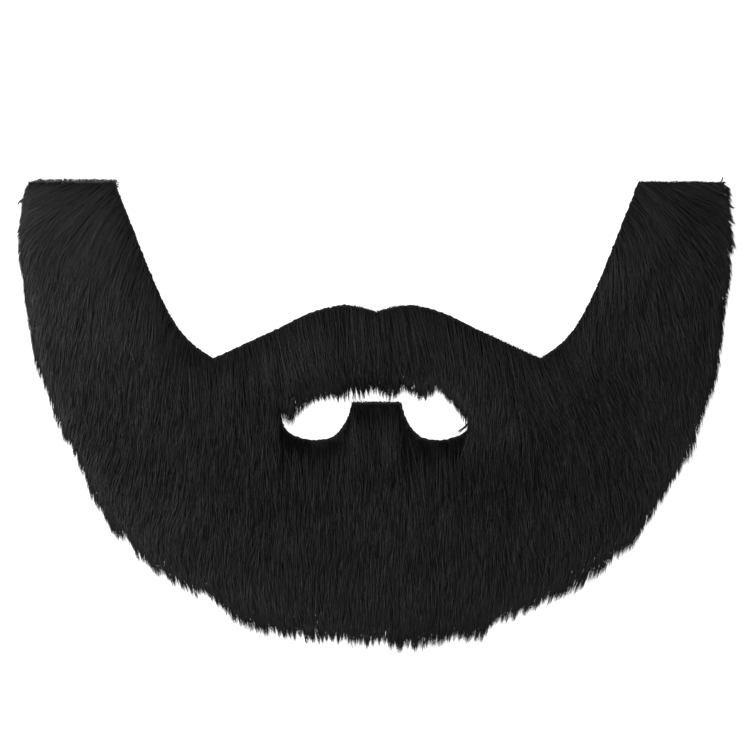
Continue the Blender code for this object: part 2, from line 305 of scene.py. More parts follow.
FRAYED_RUNS = (
    FrayedRun("left sideburn, top corner", -0.1600, -0.1575, 0.1045, 0.20, 0.0013, 5, 0.00017),
    FrayedRun("left sideburn, top", -0.1575, -0.1265, 0.1045, 0.40, 0.0019, 8, 0.00020),
    FrayedRun("left sideburn, top inner", -0.1265, -0.1205, 0.1045, 0.18, 0.0017, 7, 0.00018),
    FrayedRun("right sideburn, top", 0.1220, 0.1500, 0.1045, 0.04, 0.0009, 4),
    FrayedRun("right sideburn, top corner", 0.1500, 0.1610, 0.1045, 0.12, 0.0006, 2),
    FrayedRun("right moustache slope", 0.0510, 0.0780, 0.0240, 0.20, 0.0008, 2),
    FrayedRun("tab, top", -0.0105, 0.0108, 0.0035, 0.22, 0.0008, 3),
)

# The wisps that stand out from the hair at its edges
STRAY_HAIRS = (
    StrayHair("right mouth corner, long", 0.0428, -0.0040, 0.006, -40, 0.0092, -8),
    StrayHair("right mouth corner, beside it", 0.0428, -0.0044, 0.006, -34, 0.0072, -34),
    StrayHair("right mouth corner, hanging", 0.0400, 0.0026, 0.006, 8, 0.0072, 8),
    StrayHair("right mouth corner, hanging inner", 0.0382, 0.0044, 0.006, 14, 0.0062, 10),
    StrayHair("right mouth corner, hanging high", 0.0352, 0.0070, 0.006, 20, 0.0060, 4),
    StrayHair("right mouth corner, crossing", 0.0420, 0.0016, 0.006, -12, 0.0074, 16),
    StrayHair("right sideburn, top corner", 0.1585, 0.1062, 0.003, 128, 0.0045, 40),
    StrayHair("right sideburn, side", 0.1615, 0.0960, 0.004, 86, 0.0050, -30),
    StrayHair("left sideburn, side", -0.1625, 0.0990, 0.004, -75, 0.0050, 50),
    StrayHair("left sideburn, lower side", -0.1640, 0.0860, 0.004, -50, 0.0040, 30),
)


def smoothstep(value: np.ndarray) -> np.ndarray:
    """A share from 0 to 1 that starts and ends gently."""
    share = np.clip(value, 0.0, 1.0)
    return share * share * (3 - 2 * share)


def heading(lean: np.ndarray) -> np.ndarray:
    """The direction seen from above of each lean, where 0 is straight down the face."""
    return np.stack([np.sin(lean), -np.cos(lean)], axis=-1)


def unit(vectors: np.ndarray, least: float = 0.0) -> np.ndarray:
    """The vectors at length 1, with something added to their lengths where they may be 0."""
    return vectors / (np.linalg.norm(vectors, axis=-1, keepdims=True) + least)


def quarter_turn(vectors: np.ndarray) -> np.ndarray:
    """Flat vectors turned a quarter to the left."""
    return np.stack([-vectors[:, 1], vectors[:, 0]], axis=-1)


def edge_normals(points: np.ndarray) -> np.ndarray:
    """Unit vectors square to a closed outline, all on its right as it runs."""
    return unit(-quarter_turn(np.roll(points, -1, axis=0) - np.roll(points, 1, axis=0)))


def between(grid: np.ndarray, cell: tuple[np.ndarray, ...]) -> np.ndarray:
    """Reads a grid of values at places within its cells.

    Args:
        grid: The values, row by row.
        cell: The cells' rows and columns, and the places' shares of the way up and across them.

    Returns:
        The value at each place.
    """
    i, j, v, u = cell
    below = grid[i, j] * (1 - u) + grid[i, j + 1] * u
    above = grid[i + 1, j] * (1 - u) + grid[i + 1, j + 1] * u
    return below * (1 - v) + above * v


def smooth_loop(points: np.ndarray, sharp: np.ndarray, step: float) -> np.ndarray:
    """Runs one smooth closed curve through points, broken only where they are sharp.

    Args:
        points: The outline's points in order, one row each.
        sharp: Whether the outline turns sharply at each point.
        step: About how far apart the curve's own points are.

    Returns:
        The closed curve's points.
    """
    count = len(points)
    found = []
    for i in range(count):
        start, end = points[i], points[(i + 1) % count]
        before = start if sharp[i] else points[i - 1]
        after = end if sharp[(i + 1) % count] else points[(i + 2) % count]
        steps = max(1, round(float(np.linalg.norm(end - start)) / step))
        t = (np.arange(steps) / steps)[:, None]
        out, into = (end - before) / 2, (after - start) / 2
        found.append(
            (2 * t**3 - 3 * t**2 + 1) * start
            + (t**3 - 2 * t**2 + t) * out
            + (3 * t**2 - 2 * t**3) * end
            + (t**3 - t**2) * into
        )
    return np.concatenate(found)


def sharp_turns(points: np.ndarray, least: float = 24.0) -> np.ndarray:
    """Finds the points at which a closed outline turns sharply.

    Args:
        points: The outline's points in order.
        least: The smallest turn that counts, in degrees.

    Returns:
        Whether the outline turns sharply at each point.
    """
    into = points - np.roll(points, 1, axis=0)
    out = np.roll(points, -1, axis=0) - points
    turn = np.arctan2(out[:, 1], out[:, 0]) - np.arctan2(into[:, 1], into[:, 0])
    turn = (turn + math.pi) % (2 * math.pi) - math.pi
    return np.abs(np.degrees(turn)) > least


def table_outline(table: tuple[EdgePoint, ...], step: float) -> np.ndarray:
    """A table's points as one smooth closed outline."""
    points = np.array([(p.x, p.y) for p in table])
    return smooth_loop(points, np.array([p.sharp for p in table]), step)


def cut_loops(node: bpy.types.Object) -> list[np.ndarray]:
    """The outlines that a flat CAD node is cut to, read from its underside.

    Args:
        node: The CAD node, which isn't changed.

    Returns:
        Each loop's points in order, the longest loop first.
    """
    shape = bmesh.new()
    shape.from_mesh(node.data)
    bmesh.ops.remove_doubles(shape, verts=shape.verts, dist=WELD)
    downward = {f for f in shape.faces if f.normal.z < DOWNWARD}
    neighbours: dict[int, list[int]] = {}
    shape.verts.index_update()
    for edge in shape.edges:
        if sum(f in downward for f in edge.link_faces) == 1:
            a, b = (v.index for v in edge.verts)
            neighbours.setdefault(a, []).append(b)
            neighbours.setdefault(b, []).append(a)
    shape.verts.ensure_lookup_table()
    loops = []
    while neighbours:
        start = here = min(neighbours)
        chain = []
        while here in neighbours:
            chain.append(shape.verts[here].co.xy[:])
            options = neighbours.pop(here)
            here = next((n for n in options if n in neighbours), start)
        loops.append(np.array(chain))
    shape.free()
    return sorted(loops, key=len, reverse=True)


def linked(name: str, data: bpy.types.ID) -> bpy.types.Object:
    """Makes an object.

    Args:
        name: Its name.
        data: Its mesh, light or camera.

    Returns:
        The object, linked into the scene.
    """
    made = bpy.data.objects.new(name, data)
    bpy.context.scene.collection.objects.link(made)
    return made


def fitted(piece: bpy.types.Object) -> bpy.types.Object:
    """Fits a finished piece to the beard's one body and logs it.

    Args:
        piece: The piece.

    Returns:
        The same piece.
    """
    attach(piece, "root")
    LOG.info("%s: %d faces", piece.name, len(piece.data.polygons))
    return piece


@dataclass
class Outline:
    """A closed outline seen from above: how deep a place lies inside it, and where along it."""

    points: np.ndarray
    cell: float = 0.001
    margin: float = 0.030
    broken: float = 0.005
    last_cell: float = 1.001
    low: np.ndarray = field(init=False)
    starts: np.ndarray = field(init=False)
    length: float = field(init=False)
    depths: np.ndarray = field(init=False)
    alongs: np.ndarray = field(init=False)

    def __post_init__(self) -> None:
        """Works out both over a grid that reaches past the outline."""
        self.low = self.points.min(axis=0) - self.margin
        high = self.points.max(axis=0) + self.margin
        columns, rows = np.ceil((high - self.low) / self.cell).astype(int) + 1
        x = self.low[0] + np.arange(columns) * self.cell
        y = self.low[1] + np.arange(rows) * self.cell
        sides = np.roll(self.points, -1, axis=0) - self.points
        self.starts = np.append(0.0, np.cumsum(np.linalg.norm(sides, axis=1)))
        self.length = float(self.starts[-1])
        place = np.stack(np.meshgrid(x, y), axis=-1).reshape(-1, 2)
        self.depths, self.alongs = (found.reshape(rows, columns) for found in self.exact(place))

    def exact(self, place: np.ndarray) -> tuple[np.ndarray, np.ndarray]:
        """Measures each place against every side of the outline.

        Args:
            place: The places, one row each.

        Returns:
            How deep each lies inside, negative outside, and how far along the outline it is.
        """
        nearest = np.full(len(place), np.inf)
        along = np.zeros(len(place))
        crossings = np.zeros(len(place), bool)
        ends = np.roll(self.points, -1, axis=0)
        for a, b, start in zip(self.points, ends, self.starts):
            side = b - a
            share = np.clip((place - a) @ side / (side @ side), 0, 1)
            gap = place - a - share[:, None] * side
            away = np.einsum("ij,ij->i", gap, gap)
            nearer = away < nearest
            nearest[nearer] = away[nearer]
            along[nearer] = start + share[nearer] * np.linalg.norm(side)
            spans = (a[1] > place[:, 1]) != (b[1] > place[:, 1])
            rise = side[1] if side[1] else 1.0
            crossings ^= spans & (place[:, 0] < a[0] + (place[:, 1] - a[1]) / rise * side[0])
        return np.where(crossings, 1.0, -1.0) * np.sqrt(nearest), along

    def cells(self, place: np.ndarray) -> tuple[np.ndarray, ...]:
        """Finds the grid's cell that each place is in.

        Args:
            place: The places, in an array whose last axis is x and y.

        Returns:
            The cells' rows and columns, and the places' shares of the way up and across them.
        """
        rows, columns = self.depths.shape
        spot = (place - self.low) / self.cell
        column = np.clip(spot[..., 0], 0, columns - self.last_cell)
        row = np.clip(spot[..., 1], 0, rows - self.last_cell)
        i, j = row.astype(int), column.astype(int)
        return i, j, row - i, column - j

    def depth(self, place: np.ndarray) -> np.ndarray:
        """How deep each place lies inside the outline, negative outside."""
        return between(self.depths, self.cells(place))

    def along(self, place: np.ndarray) -> np.ndarray:
        """How far along the outline its nearest point to each place is.

        Args:
            place: The places, one row each.

        Returns:
            The distances, read between the grid's points except where they jump.
        """
        i, j, v, u = self.cells(place)
        near = np.stack([self.alongs[i + up, j + over] for up in (0, 1) for over in (0, 1)])
        weight = np.stack([(1 - v) * (1 - u), (1 - v) * u, v * (1 - u), v * u])
        blended = (near * weight).sum(axis=0)
        nearest = np.take_along_axis(near, weight.argmax(axis=0)[None], 0)[0]
        return np.where(np.ptp(near, axis=0) < self.broken, blended, nearest)

    def side_at(self, along: np.ndarray) -> np.ndarray:
        """The number of the side that each distance along the outline falls on."""
        return np.clip(np.searchsorted(self.starts, along, side="right") - 1, 0, len(self.points) - 1)

    def point_at(self, along: np.ndarray) -> tuple[np.ndarray, np.ndarray]:
        """The outline's own point and direction at each distance along it.

        Args:
            along: The distances.

        Returns:
            The points and the unit directions.
        """
        side = self.side_at(along)
        ahead = unit(np.roll(self.points, -1, axis=0)[side] - self.points[side])
        return self.points[side] + ahead * (along - self.starts[side])[:, None], ahead


@dataclass
class CutShape:
    """The cloth that the fur grows on, and the line that the hair is trimmed to."""

    step: float = 0.0015
    mouth_turn: float = 50.0
    cloth: Outline = field(init=False)
    mouth: Outline = field(init=False)
    hairline: Outline = field(init=False)
    open_mouth: Outline = field(init=False)

    def __post_init__(self) -> None:
        """Reads the cloth's outlines from the frame and draws the hair's from the tables."""
        outer, inner = cut_loops(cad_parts["backing"])
        self.cloth = Outline(smooth_loop(outer, sharp_turns(outer), self.step))
        self.mouth = Outline(smooth_loop(inner, sharp_turns(inner, self.mouth_turn), self.step))
        self.hairline = Outline(table_outline(UPPER_HAIRLINE + LOWER_HAIRLINE, self.step))
        self.open_mouth = Outline(table_outline(OPEN_MOUTH, self.step))

    def on_cloth(self, place: np.ndarray) -> np.ndarray:
        """How deep each place lies inside the cloth's own edges, negative off the cloth."""
        return np.minimum(self.cloth.depth(place), -self.mouth.depth(place))

    def within_hair(self, place: np.ndarray) -> np.ndarray:
        """How deep each place lies inside the trimmed hair's outline, negative outside."""
        return np.minimum(self.hairline.depth(place), -self.open_mouth.depth(place))


@dataclass
class Comb:
    """The way the whole pile is combed, blended between the places in its table."""

    reach: float = 0.0125
    far_weight: float = 1e-5
    table: tuple[CombPoint, ...] = COMB

    def at(self, place: np.ndarray) -> np.ndarray:
        """How the hair lies at each place.

        Args:
            place: The places, in an array whose last axis is x and y.

        Returns:
            Three arrays: the lean in radians, how ragged the trimmed ends are, and the painted light and
                shade tone.
        """
        weights = np.full(place.shape[:-1], TINY)
        blended = np.zeros((3, *place.shape[:-1]))
        for row in self.table:
            gap = (place[..., 0] - row.x) ** 2 + (place[..., 1] - row.y) ** 2
            weight = np.exp(-gap / self.reach**2) + self.far_weight / (1 + gap / self.reach**2) ** 2
            weights += weight
            values = (math.radians(row.lean), row.ragged, row.tone)
            blended += weight * np.array(values).reshape(3, *(1,) * weight.ndim)
        return blended / weights


class Surface:
    """A new material with its Principled shader, and the nodes that give it its detail."""

    def __init__(self, name: str, roughness: float, specular: float) -> None:
        """Starts the material with the values that are the same all over.

        Args:
            name: The material's name.
            roughness: The shader's roughness.
            specular: The shader's specular level.
        """
        self.material = bpy.data.materials.new(name)
        self.material.use_nodes = True
        self.nodes = self.material.node_tree.nodes
        self.links = self.material.node_tree.links
        self.inputs = self.nodes["Principled BSDF"].inputs
        self.inputs["Roughness"].default_value = roughness
        self.inputs["Specular IOR Level"].default_value = specular

    def add(self, kind: str, **values: float | Triple) -> bpy.types.Node:
        """Adds a node.

        Args:
            kind: The node's type, without the words that all types start with.
            values: Some of its inputs' values, with _ for a space in the input's name.

        Returns:
            The node.
        """
        node = self.nodes.new(f"ShaderNode{kind}")
        for name, value in values.items():
            node.inputs[name.replace("_", " ")].default_value = value
        return node

    def tone(self) -> bpy.types.NodeSocket:
        """Reads how light each hair is from the mesh's own attribute.

        Returns:
            The tone, from 0 to 1.
        """
        node = self.add("Attribute")
        node.attribute_name = TONE
        return node.outputs["Fac"]

    def place(self, scale: Triple) -> bpy.types.NodeSocket:
        """Reads the place on the object.

        Args:
            scale: A pattern's repeats to the metre along each axis.

        Returns:
            The place, in repeats of the pattern.
        """
        mapping = self.add("Mapping", Scale=scale)
        self.links.new(self.add("TexCoord").outputs["Object"], mapping.inputs["Vector"])
        return mapping.outputs["Vector"]

    def noise(self, scale: Triple, detail: float) -> bpy.types.NodeSocket:
        """Spreads noise over the object.

        Args:
            scale: Its scale along each axis.
            detail: How many finer layers it has.

        Returns:
            The noise, from 0 to 1.
        """
        node = self.add("TexNoise", Scale=1.0, Detail=detail)
        self.links.new(self.place(scale), node.inputs["Vector"])
        return node.outputs["Fac"]

    def waves(self, axis: str, spacing: float, distortion: float) -> bpy.types.NodeSocket:
        """Lays even bands across one axis.

        Args:
            axis: The axis that they follow one another along.
            spacing: How far apart they are.
            distortion: How far they wander.

        Returns:
            The bands, from 0 to 1.
        """
        node = self.add("TexWave", Scale=1.0, Distortion=distortion)
        node.bands_direction = axis
        waves_to_the_metre = math.pi / (10 * spacing)
        self.links.new(self.place((waves_to_the_metre,) * 3), node.inputs["Vector"])
        return node.outputs["Fac"]

    def sum_of(self, operation: str, *values: bpy.types.NodeSocket | float) -> bpy.types.NodeSocket:
        """Works a sum on some values.

        Args:
            operation: The Math node's operation.
            values: What it works on.

        Returns:
            The result.
        """
        node = self.add("Math")
        node.operation = operation
        for socket, value in zip(node.inputs, values):
            if isinstance(value, float):
                socket.default_value = value
            else:
                self.links.new(value, socket)
        return node.outputs[0]

    def colour(self, share: bpy.types.NodeSocket, dark: Triple, light: Triple) -> None:
        """Colours the surface between two colours.

        Args:
            share: How much of the light colour there is.
            dark: The dark colour.
            light: The light colour.
        """
        node = self.add("Mix")
        node.data_type = "RGBA"
        self.links.new(share, node.inputs["Factor"])
        sockets = [s for s in node.inputs if s.type == "RGBA"]
        for socket, colour in zip(sockets, (dark, light)):
            socket.default_value = (*colour, 1.0)
        self.links.new(next(s for s in node.outputs if s.type == "RGBA"), self.inputs["Base Color"])

    def bump(self, height: bpy.types.NodeSocket, strength: float, distance: float) -> None:
        """Raises the surface by a pattern.

        Args:
            height: The pattern.
            strength: How strongly it shows.
            distance: How high it stands.
        """
        node = self.add("Bump", Strength=strength, Distance=distance)
        self.links.new(height, node.inputs["Height"])
        self.links.new(node.outputs["Normal"], self.inputs["Normal"])


@dataclass(frozen=True)
class FurFinish:
    """Black plush hair with a soft gloss, darker and lighter hairs mixed."""

    name: str = "black_plush_hair"
    dark: Triple = (0.0036, 0.0036, 0.0037)
    light: Triple = (0.0290, 0.0290, 0.0293)
    roughness: float = 0.55
    specular: float = 0.15
    least_specular: float = 0.03
    full_gloss_tone: float = 0.5

    def material(self) -> bpy.types.Material:
        """Makes the material, whose tone differs between hairs and along each; on the pile the tone
        also carries the painted light and shade.

        Returns:
            The material.
        """
        made = Surface(self.name, self.roughness, self.specular)
        tone = made.tone()
        made.colour(tone, self.dark, self.light)
        gloss = made.add(
            "MapRange", From_Max=self.full_gloss_tone, To_Min=self.least_specular, To_Max=self.specular
        )
        made.links.new(tone, gloss.inputs["Value"])
        made.links.new(gloss.outputs["Result"], made.inputs["Specular IOR Level"])
        return made.material


@dataclass(frozen=True)
class UnderfurFinish:
    """The short matt underfur that shows between parted hairs."""

    name: str = "black_underfur"
    dark: Triple = (0.0014, 0.0014, 0.0015)
    light: Triple = (0.0060, 0.0060, 0.0062)
    roughness: float = 0.9
    specular: float = 0.1
    streak: Triple = (1600.0, 160.0, 400.0)
    detail: float = 3.0
    bump: tuple[float, float] = (0.6, 0.4 * MM)

    def material(self) -> bpy.types.Material:
        """Makes the material, with streaks that run down the face as the hair does.

        Returns:
            The material.
        """
        made = Surface(self.name, self.roughness, self.specular)
        streaks = made.noise(self.streak, self.detail)
        made.colour(streaks, self.dark, self.light)
        made.bump(streaks, *self.bump)
        return made.material


@dataclass(frozen=True)
class ClothFinish:
    """The knitted ground cloth: fine ribs of loops on the back."""

    name: str = "knitted_ground_cloth"
    dark: Triple = (0.003, 0.003, 0.0032)
    light: Triple = (0.011, 0.011, 0.0113)
    roughness: float = 0.92
    specular: float = 0.15
    wale_spacing: float = 0.0011
    course_spacing: float = 0.0008
    wander: float = 0.4
    yarn: Triple = (900.0, 900.0, 900.0)
    yarn_detail: float = 2.0
    loop_share: float = 0.7
    bump: tuple[float, float] = (0.8, 0.25 * MM)

    def material(self) -> bpy.types.Material:
        """Makes the material: two crossing waves give the knit's loops, over an uneven yarn.

        Returns:
            The material.
        """
        made = Surface(self.name, self.roughness, self.specular)
        wales = made.waves("X", self.wale_spacing, self.wander)
        courses = made.waves("Y", self.course_spacing, self.wander)
        loops = made.sum_of("MULTIPLY", wales, courses)
        yarn = made.noise(self.yarn, self.yarn_detail)
        made.colour(made.sum_of("MULTIPLY_ADD", loops, self.loop_share, yarn), self.dark, self.light)
        made.bump(loops, *self.bump)
        return made.material


@dataclass(frozen=True)
class FrayFinish:
    """The cut ends of the ground cloth's yarns, greyer than the pile."""

    name: str = "frayed_yarn"
    dark: Triple = (0.006, 0.006, 0.006)
    light: Triple = (0.176, 0.176, 0.178)
    roughness: float = 0.8
    specular: float = 0.2

    def material(self) -> bpy.types.Material:
        """Makes the material, which differs from one yarn end to the next.

        Returns:
            The material.
        """
        made = Surface(self.name, self.roughness, self.specular)
        made.colour(made.tone(), self.dark, self.light)
        return made.material


@dataclass(frozen=True)
class FloorFinish:
    """A white light table, lit softly from below."""

    name: str = "white_light_table"
    colour: Triple = (0.50, 0.50, 0.50)
    glow_colour: Triple = (1.0, 1.0, 1.0)
    glow: float = 0.85
    roughness: float = 0.95
    specular: float = 0.1

    def material(self) -> bpy.types.Material:
        """Makes the material.

        Returns:
            The material.
        """
        made = Surface(self.name, self.roughness, self.specular)
        made.inputs["Base Color"].default_value = (*self.colour, 1.0)
        made.inputs["Emission Color"].default_value = (*self.glow_colour, 1.0)
        made.inputs["Emission Strength"].default_value = self.glow
        return made.material


@dataclass
class Strands:
    """Many tapered hairs as one mesh: each is a closed tube of three sides that ends in a point."""

    paths: np.ndarray
    radii: np.ndarray
    tones: np.ndarray
    spin: np.ndarray

    def joined(self, other: "Strands") -> "Strands":
        """These hairs and then some others, as one set."""
        pairs = zip(vars(self).values(), vars(other).values())
        return Strands(*(np.concatenate(pair) for pair in pairs))

    def chosen(self, rows: np.ndarray) -> "Strands":
        """Some of these hairs."""
        return Strands(*(values[rows] for values in vars(self).values()))

    def corners(self) -> np.ndarray:
        """Finds the tubes' corners.

        Returns:
            The corners of each hair, ring by ring, with its tip last.
        """
        along = unit(np.gradient(self.paths, axis=1), TINY)
        across = np.cross(along, UP)
        length = np.linalg.norm(across, axis=2, keepdims=True)
        across = np.where(length > LEAST_SIDE, unit(across, TINY), RIGHT)
        over = np.cross(along, across)
        rings = self.paths.shape[1] - 1
        turn = self.spin[:, None, None] + np.arange(3) * (2 * math.pi / 3)
        offset = (
            across[:, :rings, None, :] * np.cos(turn)[..., None]
            + over[:, :rings, None, :] * np.sin(turn)[..., None]
        )
        ring_corners = self.paths[:, :rings, None, :] + offset * self.radii[:, :rings, None, None]
        ring_corners = ring_corners.reshape(len(self.paths), rings * 3, 3)
        return np.concatenate([ring_corners, self.paths[:, -1:, :]], axis=1)

    def faces(self) -> list[tuple[int, ...]]:
        """Lists the faces of one hair: its sides, its pointed end and the cap at its root.

        Returns:
            The numbers of each face's corners.
        """
        last = 3 * (self.paths.shape[1] - 2)
        quads = [
            (low + k, low + (k + 1) % 3, low + 3 + (k + 1) % 3, low + 3 + k)
            for low in range(0, last, 3)
            for k in range(3)
        ]
        return quads + [(last + k, last + (k + 1) % 3, last + 3) for k in range(3)] + [(0, 2, 1)]

    def object(self, name: str, finish: bpy.types.Material) -> bpy.types.Object:
        """Joins the hairs into one object.

        Args:
            name: The object's name.
            finish: Its material.

        Returns:
            The object, linked into the scene.
        """
        corners = self.corners()
        count, each = corners.shape[:2]
        faces = self.faces()
        pattern = np.array([i for face in faces for i in face])
        loops = ((np.arange(count) * each)[:, None] + pattern[None, :]).ravel()
        totals = np.tile([len(face) for face in faces], count)
        starts = np.concatenate([[0], np.cumsum(totals)[:-1]])
        mesh = bpy.data.meshes.new(name)
        mesh.vertices.add(count * each)
        mesh.vertices.foreach_set("co", corners.astype(np.float32).ravel())
        mesh.loops.add(len(loops))
        mesh.loops.foreach_set("vertex_index", loops.astype(np.int32))
        mesh.polygons.add(len(totals))
        mesh.polygons.foreach_set("loop_start", starts.astype(np.int32))
        mesh.polygons.foreach_set("use_smooth", np.ones(len(totals), bool))
        mesh.update(calc_edges=True)
        tone = np.concatenate([np.repeat(self.tones[:, :-1], 3, axis=1), self.tones[:, -1:]], axis=1)
        values = tone.astype(np.float32).ravel()
        mesh.attributes.new(TONE, "FLOAT", "POINT").data.foreach_set("value", values)
        mesh.materials.append(finish)
        return linked(name, mesh)


@dataclass(frozen=True)
class TrimLine:
    """An outline that the hair is cut to. Its tufts of ends are this wide and stand about it so
    far in millimetres, on the side that is 1 for an outer outline and -1 for an opening."""

    outline: Outline
    side: int
    stand_out: float
    ragged_stand_out: float
    furthest: float
    narrowest: float
    widest: float
    notch: float
    seed: int


@dataclass
class TuftedEdge:
    """How the trimmed hair along an outline gathers in pointed tufts, told by the distance along it."""

    line: TrimLine
    group: float = 0.0110
    tip_share: float = 0.40
    step_share: float = 0.30
    slant: float = 0.7
    notch_power: float = 1.4
    starts: np.ndarray = field(init=False)
    tips: np.ndarray = field(init=False)
    steps: np.ndarray = field(init=False)

    def __post_init__(self) -> None:
        """Shares the outline out among the tufts and the wider groups of them."""
        chance = np.random.default_rng(self.line.seed)
        length, narrowest, widest = self.line.outline.length, self.line.narrowest, self.line.widest
        count = int(2 * length / (narrowest + widest))
        widths = chance.uniform(narrowest, widest, count)
        self.starts = np.append(0.0, np.cumsum(widths)) * length / widths.sum()
        self.tips = chance.normal(0, 1, count)
        self.steps = chance.normal(0, 1, int(length / self.group) + 2)

    def uneven(self, along: np.ndarray) -> tuple[np.ndarray, np.ndarray]:
        """Finds how the ends stand at each place along the outline.

        Args:
            along: The distances along the outline.

        Returns:
            How far the ends stand out, for raggedness 1, and the way back to their tuft's middle.
        """
        index = np.clip(np.searchsorted(self.starts, along, side="right") - 1, 0, len(self.tips) - 1)
        middle = (self.starts[index] + self.starts[index + 1]) / 2
        half = (self.starts[index + 1] - self.starts[index]) / 2
        notch = (np.abs(along - middle) / half) ** self.notch_power
        spot = along / self.group
        group = np.clip(spot.astype(int), 0, len(self.steps) - 2)
        share = spot - group
        step = self.steps[group] * (1 - share) + self.steps[group + 1] * share + self.slant * (share - 0.5)
        stand = self.tip_share * self.tips[index] + self.step_share * step - self.line.notch * notch
        return stand, middle - along


@dataclass
class Tufts:
    """The places that hairs grow from in bunches, and what the hairs of a bunch have in common."""

    places: np.ndarray
    lift: np.ndarray
    shade: np.ndarray
    guides: np.ndarray


@dataclass
class Hairs:
    """Every hair while it is laid out: its tuft, its line from above and how much of it is left."""

    tuft: np.ndarray
    lines: np.ndarray
    reach: np.ndarray


@dataclass
class Pile:
    """The long hair: guides are drawn over the cloth, and each gathers a tuft of hairs."""

    shape: CutShape
    comb: Comb
    length: float = 0.0345
    lie_height: float = 0.0076
    root_height: float = 0.0017
    hair_radius: float = 0.00014
    nodes: tuple[float, ...] = (0.0, 0.28, 0.76, 1.0)
    steps: int = 14
    seed: int = 11

    # Where the tufts grow
    tuft_spacing: float = 0.00252
    jitter: float = 0.24
    rim_spacing: float = 0.0011
    rim_least: float = 0.0001
    rim_depth: float = 0.0014
    hem_depth: float = 0.0060
    rim_facing: float = 0.08
    hem_facing: float = -0.3

    # What the hairs of a tuft and of a group of tufts share
    group_spacing: float = 0.0085
    group_cells: int = 64
    group_swing: float = 4.5
    tuft_swing: float = 3.0
    lift_spread: float = 0.035
    group_shade: float = 0.03
    tuft_shade: float = 0.04

    # How a tuft's hairs spread round its guide
    hairs_in_tuft: int = 8
    tuft_radius: float = 0.00178
    gather: float = 0.36
    gather_power: float = 1.15
    loose_share: float = 0.08
    loose_drift: float = 3.5
    drift: float = 2.4
    drift_power: float = 1.3
    bow: float = 0.00042
    reaches: tuple[float, float] = (0.80, 1.04)

    # How the ends are trimmed, in millimetres where a number is a distance past the outline
    lean_out: tuple[float, float] = (0.2, 3.0)
    undercoat: float = 0.45
    undercoat_step: float = 0.45
    scatter: tuple[float, float] = (0.10, 0.20)
    flyaway: float = 0.05
    flyaway_scatter: tuple[float, float] = (0.5, 0.4)
    shortest_slack: float = -5.0
    uncut: float = 1.1
    outlying: float = 0.0060
    pull: float = 0.6
    pull_depth: float = 0.004
    pull_ragged: float = 1.5
    bend: tuple[float, float] = (0.68, 0.32)
    least_reach: float = 0.05
    shortest: float = 0.08

    # How high the hair lies along it, at the pile's edge and where it falls past the cloth
    rise_power: float = 2.4
    tip_drop: float = 0.20
    tip_run: tuple[float, float] = (0.55, 0.45)
    edge_height: float = 0.40
    edge_shoulder: float = 0.0050
    fall_reach: float = 0.020
    floor_gap: float = 0.0005
    floor_rise: float = 0.0005
    floor_spread: float = 0.0022
    hair_lift: float = 0.07
    lifts: tuple[float, float] = (0.6, 1.4)
    height_spread: float = 0.00025

    # How thick and how light each hair is, and the painted shade on the roots by the mouth
    taper: tuple[tuple[float, float], ...] = ((0, 0.85), (0.3, 1.0), (0.76, 0.95), (1, 0.0))
    thickness: tuple[float, float] = (0.75, 1.25)
    tone: float = 0.55
    hair_tone: float = 0.10
    node_tone: float = 0.06
    # Painted shade: how far from the mouth's lower rim, how strongly and where the roots are darkened
    mouth_shade: float = 0.0048
    mouth_painted_shade: float = 0.9
    shade_across: tuple[float, float] = (0.020, 0.036)
    shade_highest: tuple[float, float] = (0.0055, -0.0030)
    shade_fade: float = 0.006

    # Where one part of the pile ends and the next begins
    chin_half: float = 0.052
    tab_foot: float = -0.045
    moustache_half: float = 0.074
    moustache_foot: float = 0.006
    sideburn_foot: float = 0.030

    def rim_roots(self, chance: np.random.Generator) -> np.ndarray:
        """More tufts along the cloth's edges: a row on bare ones, a band where hair overhangs.

        Args:
            chance: The source of random numbers.

        Returns:
            The tufts' places, one row each.
        """
        found = []
        for outline, inward in ((self.shape.cloth, 1), (self.shape.mouth, -1)):
            along = np.arange(0, outline.length, self.rim_spacing)
            spots, tangents = outline.point_at(along)
            normals = quarter_turn(tangents)
            inner = outline.depth(spots + normals * MM) > outline.depth(spots - normals * MM)
            normals *= np.where(inner, inward, -inward)[:, None]
            facing = np.einsum("ij,ij->i", heading(self.comb.at(spots)[0]), normals)
            depth = chance.uniform(self.rim_least, self.rim_depth, (len(spots), 1))
            found.append((spots + normals * depth)[facing > self.rim_facing])
            depth = chance.uniform(self.rim_least, self.hem_depth, (len(spots), 1))
            found.append((spots + normals * depth)[facing < self.hem_facing])
        return np.concatenate(found)

    def roots(self, chance: np.random.Generator) -> np.ndarray:
        """Where the tufts grow: a jittered grid over the cloth, and more along its edges.

        Args:
            chance: The source of random numbers.

        Returns:
            The tufts' places, one row each.
        """
        low = self.shape.cloth.points.min(axis=0)
        high = self.shape.cloth.points.max(axis=0)
        across = self.tuft_spacing
        up = across * math.sqrt(3) / 2
        x = np.arange(low[0], high[0] + across, across)
        y = np.arange(low[1], high[1] + up, up)
        grid = np.stack(np.meshgrid(x, y), axis=-1)
        grid[1::2, :, 0] += across / 2
        places = grid.reshape(-1, 2)
        places += chance.normal(0, across * self.jitter, places.shape)
        places = np.concatenate([places, self.rim_roots(chance)])
        return places[self.shape.on_cloth(places) > self.rim_least]

